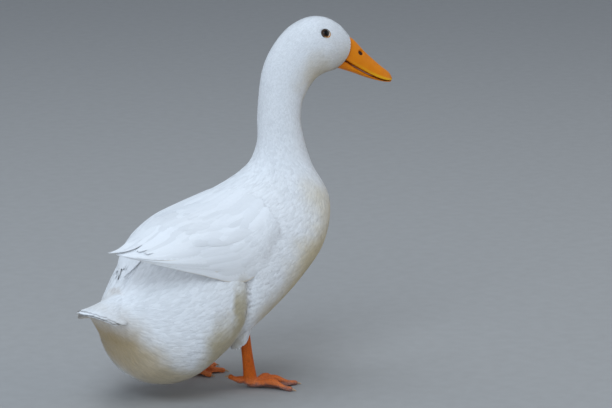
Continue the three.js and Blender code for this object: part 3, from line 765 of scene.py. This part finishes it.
# name, ranks, vanes in a rank, roots' u first and last rank, roots' v first and last vane,
# length first and last vane, breadth, root and tip height, droop, unevenness
wing_ranks = [
    ("primaries", 1, 15, (0.36, 0.36), (0.99, 0.56), (116, 114), 12, (-0.9, -0.65), 0.0, 0.01),
    ("secondaries", 1, 13, (0.14, 0.14), (0.99, 0.52), (84, 94), 15, (-0.8, -0.45), 0.03, 0.02),
    ("greater_coverts", 1, 14, (0.07, 0.07), (0.99, 0.45), (52, 60), 12, (-0.6, -0.3), 0.06, 0.05),
    ("median_coverts", 2, 14, (0.1, 0.0), (0.98, 0.4), (30, 36), 10, (-0.5, -0.2), 0.1, 0.08),
    ("seam_quills", 2, 4, (0.36, 0.5), (0.16, 0.03), (88, 90), 12, (-0.7, -0.35), 0.0, 0.03),
    ("tertials", 2, 8, (0.36, 0.26), (0.6, 0.13), (96, 106), 22, (-0.5, -0.45), 0.02, 0.02),
    ("seam_coverts", 6, 2, (0.5, 0.02), (0.09, 0.03), (40, 44), 11, (-0.4, -0.05), 0.0, 0.05),
    ("scapulars", 5, 12, (0.3, 0.0), (0.58, 0.1), (48, 58), 18, (-0.3, 0.05), 0.05, 0.1),
]
wing_share = {"right": 1.0, "left": 0.9}
longest_covert = 60
rng = np.random.default_rng(23)
for side, (surface, facing) in wing_surfaces.items():
    quills, vanes = [], []
    for name, ranks, count, root_u, root_v, lengths, breadth, heights, droop, uneven in wing_ranks:
        rank, order = np.meshgrid(np.linspace(0, 1, ranks), np.linspace(0, 1, count), indexing="ij")
        stagger = (np.arange(ranks)[:, None] % 2) * 0.5 / count
        u = (root_u[0] + (root_u[1] - root_u[0]) * rank + rng.normal(0, 0.2 * uneven, rank.shape)).ravel()
        along_rank = np.clip(order + stagger, 0, 1)
        v = (root_v[0] + (root_v[1] - root_v[0]) * along_rank).ravel()
        many = len(u)
        length = lengths[0] + (lengths[1] - lengths[0]) * along_rank.ravel()
        length *= rng.uniform(1 - uneven, 1 + uneven, many) * wing_share[side]
        overlap = 0.06 * along_rank.ravel()
        template = quill_vane if lengths[1] > longest_covert else covert_vane
        laid = lay_feathers(surface, facing, u, v, facing * (droop + rng.normal(0, 0.02, many)), length,
                            breadth * rng.uniform(0.93, 1.07, many), -heights[0] - overlap,
                            heights[1] + overlap, template, rng, tilt=0.025, camber=0.03,
                            blunt=0.42, tuck=0.5)
        batch = (template, laid, u * 0.8, v)
        (quills if name in ("primaries", "secondaries") else vanes).append(batch)
    count = 760
    u, v = scatter(count, (-0.02, 0.17), (0.0, 1.0), lambda p, q: np.ones_like(p))
    laid = lay_feathers(surface, facing, u, v, facing * (0.1 + rng.normal(0, 0.1, count)),
                        rng.uniform(15, 22, count), rng.uniform(6, 8, count), np.full(count, 0.8),
                        np.full(count, -0.15), body_vane, rng, tilt=0.04, camber=0.05)
    vanes.append((body_vane, laid, u * 0.8 + 0.05, v))
    feather_piece("wing_quills_" + side, quills, quill_material, stands_for=["wing_" + side])
    feather_piece("wing_coverts_" + side, vanes, wing_material, stands_for=["wing_" + side])


# Tail. A low arched fan of stiff vanes in layers, clothed at its root above and below by the coverts.
rectrix_breadth = 13.0
rng = np.random.default_rng(31)
tail_batches = []
for layer in range(5):
    count = 14 - layer % 2
    v = np.linspace(0.07, 0.93, count) + rng.normal(0, 0.006, count)
    u = np.full(count, -0.3)
    rank = 1 - np.abs(2 * v - 1)
    rectrices = lay_feathers(tail_surface, -1, u, v, np.zeros(count),
                             fan_reach(v) * (1.26 - 0.035 * layer) * rng.uniform(0.95, 1.02, count),
                             np.full(count, rectrix_breadth), 1.0 - 0.3 * rank + 0.6 * layer,
                             -0.35 + 0.2 * rank - 0.55 * layer, quill_vane, rng, tilt=0.03,
                             camber=0.02, blunt=0.4, tuck=0.3)
    tail_batches.append((quill_vane, rectrices, u * 0.05 + 0.03, v))
for height, depth, many, far, margin in (
    # tip height, root depth, vanes, the last root's u, margin at the fan's sides
    (0.15, -0.5, 520, 0.55, 0.03),
    (-0.9, -1.2, 460, 0.72, 0.05),
    (-2.4, -2.6, 460, 0.66, 0.08),
    (-4.4, -4.8, 460, 0.5, 0.1),
    (-7.0, -7.6, 460, 0.36, 0.13),
    (-10.0, -11.0, 420, 0.22, 0.17),
    (-14.0, -15.0, 380, 0.06, 0.2),
):
    u, v = scatter(many, (-0.25, far), (margin, 1 - margin), lambda p, q: np.ones_like(p))
    span = fan_reach(v)
    length = np.minimum(rng.uniform(20, 28, many), (0.97 - u) * span)
    at_root, at_tip = (np.clip((1 - share) / 0.75, 0.04, 1) for share in (u, u + length / span))
    lift = np.where(height < 0, height * at_tip - 4.5 * (1 - at_tip), height)
    laid = lay_feathers(tail_surface, -1, u, v, rng.normal(0, 0.1, many), length,
                        rng.uniform(7, 9, many), -depth * at_root, lift, body_vane, rng,
                        tilt=0.04, camber=0.05)
    tail_batches.append((body_vane, laid, u * 0.05 + 0.03, v))
feather_piece("tail_fan", tail_batches, wing_material, stands_for=["tail"])

# Thigh feathers. Short soft vanes that hang down the drumstick and end ragged over the bare leg.
rng = np.random.default_rng(37)
thigh_batches = []
for side, surface in thigh_surfaces.items():
    count = 900
    h, a = scatter(count, (0.35, 4.0), (0, 2 * np.pi), lambda p, q: np.ones_like(p))
    to_rim = np.interp(h, np.arange(5), [row[0] for row in thigh_levels]) - thigh_levels[0][0]
    laid = lay_feathers(surface, -1, h, a, rng.normal(0, 0.12, count),
                        np.minimum(rng.uniform(9, 15, count), to_rim + rng.uniform(1, 4, count)),
                        rng.uniform(3, 4.5, count), np.full(count, 0.9), np.full(count, 0.1), body_vane, rng,
                        forward=-1, tilt=0.05, camber=0.05)
    thigh_batches.append((body_vane, laid, h / 40 + (0.3 if side == "left" else 0.2), a / (2 * np.pi)))
feather_piece("coat_thighs", thigh_batches, feather_material)

# Bill. A horny sheath over two jaws: the upper an arch that flattens into a broad spoon with a
# rolled yellow lip, pierced by two nostrils; the lower a shallow tray shut against it.
bill_stations = np.array([
    # along, ridge, gape, under, half width
    [172, 364, 345, 333.5, 9.8],
    [180, 368, 342, 330.8, 11.4],
    [190, 365.3, 335.3, 327.3, 12.4],
    [204, 350.8, 327.2, 321.8, 12.6],
    [214, 341.4, 322.2, 318.5, 13.3],
    [224, 332.7, 318.6, 316.2, 14],
    [232, 326.4, 317.3, 315.2, 11],
    [236.2, 320.6, 317.8, 315.8, 4],
])
last_bill_station = len(bill_stations) - 1
nostril_along, nostril_height, nostril_slope = 198.6, 350.0, math.radians(-30)
nostril_long, nostril_tall, nostril_depth = 3.5, 2.4, 2.4


def upper_jaw_at(u, a):
    """Arched sections over the gape line, flat below; the lip swells near the edge."""
    along, ridge, gape, _, half = np.moveaxis(smooth_curve(bill_stations, u * last_bill_station), -1, 0)
    middle = gape + 0.16 * (ridge - gape)
    tall = np.where(np.cos(a) > 0, ridge - middle, middle - gape)
    height = middle + signed_power(np.cos(a), np.where(np.cos(a) > 0, 1.05, 0.3)) * tall
    from_top = np.degrees(np.abs(np.arctan2(np.sin(a), np.cos(a))))
    lip = 0.6 * np.exp(-((from_top - 92) / 12) ** 2) * np.clip(u * 3, 0, 1)
    dished = 1 - 0.07 * np.sin(2 * a) ** 2 * (np.cos(a) > 0) * np.sin(np.pi * np.clip(u, 0, 1))
    return turned(along, np.sin(a) * (half * dished + lip), height)


def lower_jaw_at(u, a):
    """A shallow tray under the gape line, a little narrower than the upper jaw."""
    along, _, gape, under, half = np.moveaxis(smooth_curve(bill_stations, u * last_bill_station), -1, 0)
    top = gape - 0.35
    middle = top - 0.35 * (top - under)
    tall = np.where(np.cos(a) > 0, top - middle, middle - under)
    height = middle + signed_power(np.cos(a), np.where(np.cos(a) > 0, 0.3, 0.8)) * tall
    return turned(along, np.sin(a) * (half - 1.3), height)


def jaw_mesh(name, surface, rings, around):
    """A closed tube of one jaw, with each point's nearness to the lip and to the face."""
    u, a = np.meshgrid(np.linspace(0, 1, rings), np.linspace(0, 2 * np.pi, around, endpoint=False),
                       indexing="ij")
    here, _, _, outward = tangents(run_on(surface, (0.0, 1.0)), u, a, -1)
    pit = np.zeros_like(u)
    if name == "bill_upper_sheath":
        reach = np.hypot(here[..., 0] - neck_line_x, here[..., 1]) + neck_line_x
        along, high = reach - nostril_along, here[..., 2] - nostril_height
        c, s = math.cos(nostril_slope), math.sin(nostril_slope)
        away = np.hypot((along * c + high * s) / nostril_long, (high * c - along * s) / nostril_tall)
        side = np.abs(np.sin(a)) > 0.2
        pit = np.clip(1.25 - away, 0, 1) * side
        collar = 0.3 * np.exp(-((away - 1.35) / 0.3) ** 2) * side
        here = here - outward * (nostril_depth * np.clip(pit * 1.6, 0, 1) - collar)[..., None]
    points, quads, triangles = closed_tube(here)
    piece = add_mesh(name, points, quads, triangles)
    lip = np.exp(-((np.degrees(np.abs(np.arctan2(np.sin(a), np.cos(a)))) - 94) / (10 + 14 * u**2)) ** 2)
    lip = lip * np.clip(0.25 + 1.1 * u, 0, 1) * (1.0 if name == "bill_upper_sheath" else 0.5)
    marks = np.stack([lip, u, pit], -1).reshape(-1, 3)
    marks = np.vstack([marks, [0, 0, 0], [0, 1, 0]])
    store(piece, "marks", marks)
    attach(piece, "root")
    return piece


bill_material, shader, place = new_material("bill_horn", (0.8, 0.3, 0.01), 0.5, 0.2)
marks = stored(bill_material, "marks")
cloud = speckle(bill_material, place, 130.0, 5.0, 0.6)
colour = mixed(bill_material, cloud, (0.68, 0.17, 0.001, 1), (0.85, 0.27, 0.002, 1))
lip = graded(bill_material, marks["X"], 0.35, 0.95, 0.8)
colour = mixed(bill_material, lip, colour, (0.85, 0.46, 0.01, 1))
root = graded(bill_material, marks["Y"], 0.3, 0.1, 0.5)
colour = mixed(bill_material, root, colour, (0.7, 0.17, 0.006, 1))
# Painted shade: the sunken nostril pits are painted near-black.
nostril_shade = graded(bill_material, marks["Z"], 0.2, 0.55)
colour = mixed(bill_material, nostril_shade, colour, (0.03, 0.008, 0.006, 1))
feed(bill_material, colour, shader, "Base Color")
grain = speckle(bill_material, place, 700.0, 3.0)
pores = add_node(bill_material, "Bump", {"Height": grain, "Strength": 0.25, "Distance": 0.0003})
feed(bill_material, pores["Normal"], shader, "Normal")

upper = jaw_mesh("bill_upper_sheath", upper_jaw_at, 200, 128)
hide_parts("bill_upper")
lower = jaw_mesh("bill_lower_sheath", lower_jaw_at, 120, 64)
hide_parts("bill_lower")
upper.data.materials.append(bill_material)
lower.data.materials.append(bill_material)


def lamellae_at(u, a):
    """A flat oval between the jaws, its rim combed into fine ridges along the bill."""
    along, _, gape, _, half = np.moveaxis(smooth_curve(bill_stations, u * last_bill_station), -1, 0)
    comb = 0.22 * np.sin(2 * np.pi * along / 1.5)
    return turned(along - 1.5, np.sin(a) * (half - 0.7 + comb), gape - 0.35 + 0.5 * np.cos(a))


u, a = np.meshgrid(np.linspace(0.02, 0.97, 280), np.linspace(0, 2 * np.pi, 32, endpoint=False),
                   indexing="ij")
lamellae = add_mesh("bill_lamellae", *closed_tube(lamellae_at(u, a)))
gape_material, shader, place = new_material("gape_red", (0.12, 0.02, 0.01), 0.6, 0.2)
ridges = speckle(gape_material, place, 420.0, 3.0)
gape_red = mixed(gape_material, ridges, (0.1, 0.015, 0.004, 1), (0.4, 0.07, 0.015, 1))
feed(gape_material, gape_red, shader, "Base Color")
lamellae.data.materials.append(gape_material)
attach(lamellae, "root")

# Nail. The hard shield at the bill's tip, a smooth oval that hooks down over the lower jaw.
polar, around = np.meshgrid(np.linspace(0.03, np.pi - 0.03, 48),
                            np.linspace(0, 2 * np.pi, 40, endpoint=False), indexing="ij")
ahead = np.cos(polar)
hook = 1.1 * np.clip(ahead, 0, 1) ** 2
nail_rings = turned(231.8 + 4.9 * ahead, 4.1 * np.sin(polar) * np.sin(around),
                    321.9 - hook + 3.3 * np.sin(polar) * np.cos(around) - 1.1 * ahead)
nail = add_mesh("bill_nail_horn", *closed_tube(nail_rings))
nail_material, shader, place = new_material("nail_horn", (0.5, 0.32, 0.22), 0.4, 0.4)
streak = speckle(nail_material, place, 380.0, 4.0)
nail_tone = mixed(nail_material, streak, (0.42, 0.2, 0.1, 1), (0.66, 0.4, 0.24, 1))
feed(nail_material, nail_tone, shader, "Base Color")
nail.data.materials.append(nail_material)
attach(nail, "root")
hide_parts("bill_nail")

# Eyes. Wet dark balls that swell over a wide pupil, with a brown iris round it, each held by a
# thin ring of naked lid whose front and lower part is yellow.
eye_material, shader, place = new_material("eye_ball", (0.012, 0.008, 0.006), 0.04, 0.18)
gaze = stored(eye_material, "gaze")
iris = graded(eye_material, gaze["X"], 0.4, 0.52)
rays = speckle(eye_material, place, 1400.0, 4.0)
brown = mixed(eye_material, rays, (0.02, 0.009, 0.005, 1), (0.07, 0.03, 0.012, 1))
ball_tone = mixed(eye_material, iris, (0.003, 0.003, 0.003, 1), brown)
feed(eye_material, ball_tone, shader, "Base Color")
lid_material, lid_shader, lid_place = new_material("lid_skin", (0.5, 0.3, 0.08), 0.5, 0.4)
lid_noise = speckle(lid_material, lid_place, 600.0, 3.0)
lid_tone = mixed(lid_material, lid_noise, (0.5, 0.2, 0.03, 1), (0.75, 0.34, 0.05, 1))
lit_part = stored(lid_material, "gaze")["Y"]
lid_tone = mixed(lid_material, lit_part, (0.1, 0.07, 0.05, 1), lid_tone)
feed(lid_material, lid_tone, lid_shader, "Base Color")
lid_opening, lid_half_thickness = 4.75, 0.5
for side, sign in (("right", 1), ("left", -1)):
    low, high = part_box("eye_" + side)
    middle = (np.array(low) + np.array(high)) / 2 * 1000 + cad_middle
    radius = (high[2] - low[2]) / 2 * 1000
    t, a = np.meshgrid(np.linspace(13, 17.5, 181), sign * np.linspace(0.4, 2.2, 145), indexing="ij")
    here, _, _, outward = tangents(body_surface, t, a, -1)
    nearest = np.argmin(np.linalg.norm(here - middle, axis=-1))
    out = outward.reshape(-1, 3)[nearest]
    offset_height = np.linalg.norm(here.reshape(-1, 3)[nearest] - middle)
    fore = np.cross(out, [0, 0, 1.0]) * sign
    fore /= np.linalg.norm(fore)
    upward = np.cross(fore, out) * sign
    polar, round_eye = np.meshgrid(np.linspace(0.02, np.pi - 0.02, 40),
                                   np.linspace(0, 2 * np.pi, 48, endpoint=False), indexing="ij")
    bulge = radius + 0.25 * np.exp(-(polar / 0.5) ** 2)
    aside = fore * np.cos(round_eye)[..., None] + upward * np.sin(round_eye)[..., None]
    ball = middle + bulge[..., None] * (out * np.cos(polar)[..., None] + aside * np.sin(polar)[..., None])
    points, quads, triangles = closed_tube(ball)
    eye = add_mesh("eye_ball_" + side, points, quads, triangles)
    away = np.append(polar.ravel(), [0, np.pi])
    store(eye, "gaze", np.stack([away, away * 0, away * 0], -1))
    eye.data.materials.append(eye_material)
    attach(eye, "root")
    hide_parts("eye_" + side)
    ring, tube = np.meshgrid(np.linspace(0, 2 * np.pi, 72, endpoint=False),
                             np.linspace(0, 2 * np.pi, 16, endpoint=False), indexing="ij")
    front_low = np.clip(-0.05 - 1.05 * np.cos(ring - 0.95), 0, 1)
    opening = lid_opening + 0.25 * np.cos(2 * ring) + (0.35 + 0.3 * front_low) * (np.cos(tube) + front_low)
    level = offset_height - 0.1 + lid_half_thickness * np.sin(tube) - 0.2 * np.cos(2 * ring)
    lids = middle + out * level[..., None] + opening[..., None] * (
        fore * np.cos(ring)[..., None] + upward * np.sin(ring)[..., None])
    j = np.arange(ring.size).reshape(ring.shape)
    next_ring, next_tube = np.roll(j, -1, 0), np.roll(j, -1, 1)
    quads = np.stack([j, next_ring, np.roll(next_ring, -1, 1), next_tube], -1).reshape(-1, 4)
    lid = add_mesh("eye_lids_" + side, lids, quads)
    store(lid, "gaze", np.stack([front_low * 0, front_low, front_low * 0], -1))
    lid.data.materials.append(lid_material)
    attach(lid, "root")

# Legs. Bare scaly skin over bone and tendon: a flattened shank with plates down its front, three
# long toes swollen at each joint, a raised hind toe, and webs slung between the front three.
toe_shapes = {
    # turn outward from the middle toe, length, height of its root and of its tip
    "inner": (-28, 42, 7.0, 2.4),
    "middle": (0, 52, 7.6, 2.4),
    "outer": (31, 49, 7.0, 2.4),
    "hind": (187, 24, 10.0, 13.5),
}
# side across the body, ankle along it, turn of the foot
feet = {"right": (-1, 12, 34), "left": (1, -3, -43)}
plate_length = 2.6
stance, ankle_height = 50.0, 9.0
hock_back, hock_side, hock_height = 9.5, 48.0, 78.0
claw_root, claw_length, claw_curve, claw_radius = 3.0, 7.2, 1.8, 1.6
web_thickness = 1.5


def ringed(path, wide, tall, around, plates):
    """Ellipses of given half sizes along a path, with raised plates across the upper face."""
    ahead = np.gradient(path, axis=0)
    ahead /= np.linalg.norm(ahead, axis=1, keepdims=True)
    steep = np.abs(ahead[:, 2:]) > 0.8
    side = np.cross(ahead, np.where(steep, [[1.0, 0, 0]], [[0, 0, 1.0]]))
    side /= np.linalg.norm(side, axis=1, keepdims=True)
    upward = np.cross(side, ahead)
    a = np.linspace(0, 2 * np.pi, around, endpoint=False)[None, :]
    gone = np.concatenate([[0], np.cumsum(np.linalg.norm(np.diff(path, axis=0), axis=1))])[:, None]
    front = np.clip(np.sin(a) * 1.4, 0, 1)
    raised = plates * front * np.abs(np.sin(np.pi * gone / plate_length)) ** 0.5
    across = (wide[:, None] + raised) * np.cos(a)
    up = (tall[:, None] + raised) * np.sin(a)
    return path[:, None, :] + side[:, None, :] * across[..., None] + upward[:, None, :] * up[..., None]


def toe_path(ankle, angle, length, high, low, count=44):
    """A toe arched at its knuckle, falling from the ankle to its tip."""
    f = np.linspace(0, 1, count)
    arch = 5.0 * np.sin(np.pi * f) ** 4 if length > 30 else -3.6 * np.sin(np.pi * f)
    reach = np.radians(angle)
    return np.stack([ankle[0] + f * length * np.cos(reach), ankle[1] + f * length * np.sin(reach),
                     high + (low - high) * np.sqrt(f) + arch], -1), f


def web_between(ankle, angles, lengths, count=40):
    """A thin web slung between two toes, scalloped in front and creased along its rays."""
    r, f = np.meshgrid(np.linspace(0, 1, count), np.linspace(0, 1, count), indexing="ij")
    angle = np.radians(angles[0] + (angles[1] - angles[0]) * f)
    rim = (lengths[0] + (lengths[1] - lengths[0]) * f) * (0.97 - 0.2 * np.sin(np.pi * f))
    reach = rim * (0.1 + 0.9 * r)
    sag = 2.2 * np.sin(np.pi * f) * np.sin(np.pi * np.clip(r, 0, 1)) ** 0.7
    crease = 0.3 * np.sin(f * np.pi * 9) * r * np.sin(np.pi * f)
    top = 6.6 - 3.4 * np.sqrt(r) + 3.6 * np.sin(np.pi * r) ** 3 * np.cos(np.pi * f) ** 2 - sag + crease
    sheet = np.stack([ankle[0] + reach * np.cos(angle), ankle[1] + reach * np.sin(angle), top], -1)
    return sheet, sheet - [0, 0, web_thickness]


leg_material, shader, place = new_material("leg_scales", (0.6, 0.12, 0.01), 0.55, 0.25)
cells = add_node(leg_material, "TexVoronoi", {"Vector": place, "Scale": 420.0}, feature="DISTANCE_TO_EDGE")
seams = add_node(leg_material, "MapRange", {"Value": cells["Distance"], "From Max": 0.12})["Result"]
cloud = speckle(leg_material, place, 90.0, 6.0, 0.65)
colour = mixed(leg_material, cloud, (0.5, 0.075, 0.003, 1), (0.75, 0.16, 0.009, 1))
height = add_node(leg_material, "SeparateXYZ", {"Vector": place})["Z"]
pink = graded(leg_material, height, 0.016, 0.005, 0.5)
colour = mixed(leg_material, pink, colour, (0.85, 0.27, 0.1, 1))
# Darker grey-purple low on the right foot, below a ragged line a few millimetres above the ground; on the
# left foot the line lies 10 mm lower.
ragged_line = add_node(leg_material, "Math", {0: cloud, 1: -0.014, 2: 0.0135}, operation="MULTIPLY_ADD")[0]
on_left = add_node(leg_material, "SeparateXYZ", {"Vector": place})["Y"]
left_offset = add_node(leg_material, "MapRange", {"Value": on_left, "From Min": 0.0, "From Max": 0.03,
               "To Max": 0.01})
offset_height = add_node(leg_material, "Math", {0: height, 1: left_offset["Result"]}, operation="ADD")[0]
below = add_node(leg_material, "Math", {0: ragged_line, 1: offset_height}, operation="SUBTRACT")[0]
low_dark = graded(leg_material, below, -0.002, 0.003, 0.8)
colour = mixed(leg_material, low_dark, colour, (0.19, 0.13, 0.13, 1))
dark = add_node(leg_material, "MapRange", {"Value": seams, "To Min": 0.72, "To Max": 1.0})["Result"]
colour = add_node(leg_material, "VectorMath", {0: colour, "Scale": dark}, operation="SCALE")[0]
feed(leg_material, colour, shader, "Base Color")
scales = add_node(leg_material, "Bump", {"Height": seams, "Strength": 0.5, "Distance": 0.0004})
feed(leg_material, scales["Normal"], shader, "Normal")

claw_material, claw_shader, claw_place = new_material("claw_horn", (0.5, 0.38, 0.26), 0.42, 0.5)
streak = speckle(claw_material, claw_place, 500.0, 4.0)
horn = mixed(claw_material, streak, (0.26, 0.14, 0.07, 1), (0.6, 0.4, 0.24, 1))
feed(claw_material, horn, claw_shader, "Base Color")

for side, (sign, ankle_x, foot_turn) in feet.items():
    ankle = np.array([ankle_x, sign * stance, ankle_height])
    hock = np.array([ankle_x - hock_back, sign * hock_side, hock_height])
    f = np.linspace(0, 1, 100)
    shank_path = ankle - [0, 0, 3] + (hock - ankle + [0, 0, 3]) * f[:, None]
    wide = np.interp(f, np.linspace(0, 1, 6), [6.8, 5.8, 5.0, 4.8, 5.0, 5.3])
    tall = np.interp(f, np.linspace(0, 1, 6), [8.2, 7.2, 6.4, 6.2, 6.3, 6.6])
    shapes = [closed_tube(ringed(shank_path, wide, tall, 48, 0.3))]
    angles = {}
    for name, (turn, length, high, low) in toe_shapes.items():
        angles[name] = sign * (turn + foot_turn)
        path, f = toe_path(ankle, angles[name], length, high, low)
        swell = 1 + 0.13 * np.cos(4 * np.pi * f)
        half = (5.0 - 2.7 * f) * swell * np.sqrt(np.clip((1.02 - f) * 14, 0, 1))
        thick = (5.6 - 3.2 * f**0.6) * swell * np.sqrt(np.clip((1.02 - f) * 14, 0, 1))
        shapes.append(closed_tube(ringed(path, half, thick, 32, 0.3)))
        reach = np.radians(angles[name])
        way = np.array([math.cos(reach), math.sin(reach), 0.0])
        g = np.linspace(0, 1, 20)
        tip = path[-1]
        claw_path = tip + way * (claw_length * g - claw_root)[:, None]
        claw_path = claw_path + np.array([0, 0, 1]) * (0.4 - claw_curve * g**2)[:, None]
        claw_path[:, 2] = np.maximum(claw_path[:, 2], 0.9)
        taper = claw_radius * np.sqrt(1 - 0.96 * g)
        claw_rings = ringed(claw_path, taper * 0.85, taper, 16, 0.0)
        claw = add_mesh(f"claw_horn_{name}_{side}", *closed_tube(claw_rings))
        claw.data.materials.append(claw_material)
        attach(claw, "root")
        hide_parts(f"claw_{name}_{side}")
    for pair in (("inner", "middle"), ("middle", "outer")):
        lengths = [toe_shapes[name][1] for name in pair]
        shapes.append(closed_sheet(*web_between(ankle, [angles[name] for name in pair], lengths)))
    leg = one_surface("leg_skin_" + side, shapes, voxel=0.00065, passes=2, lowest=0.05)
    leg.data.materials.append(leg_material)
    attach(leg, "root")
    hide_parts("foot_" + side, "shank_" + side)
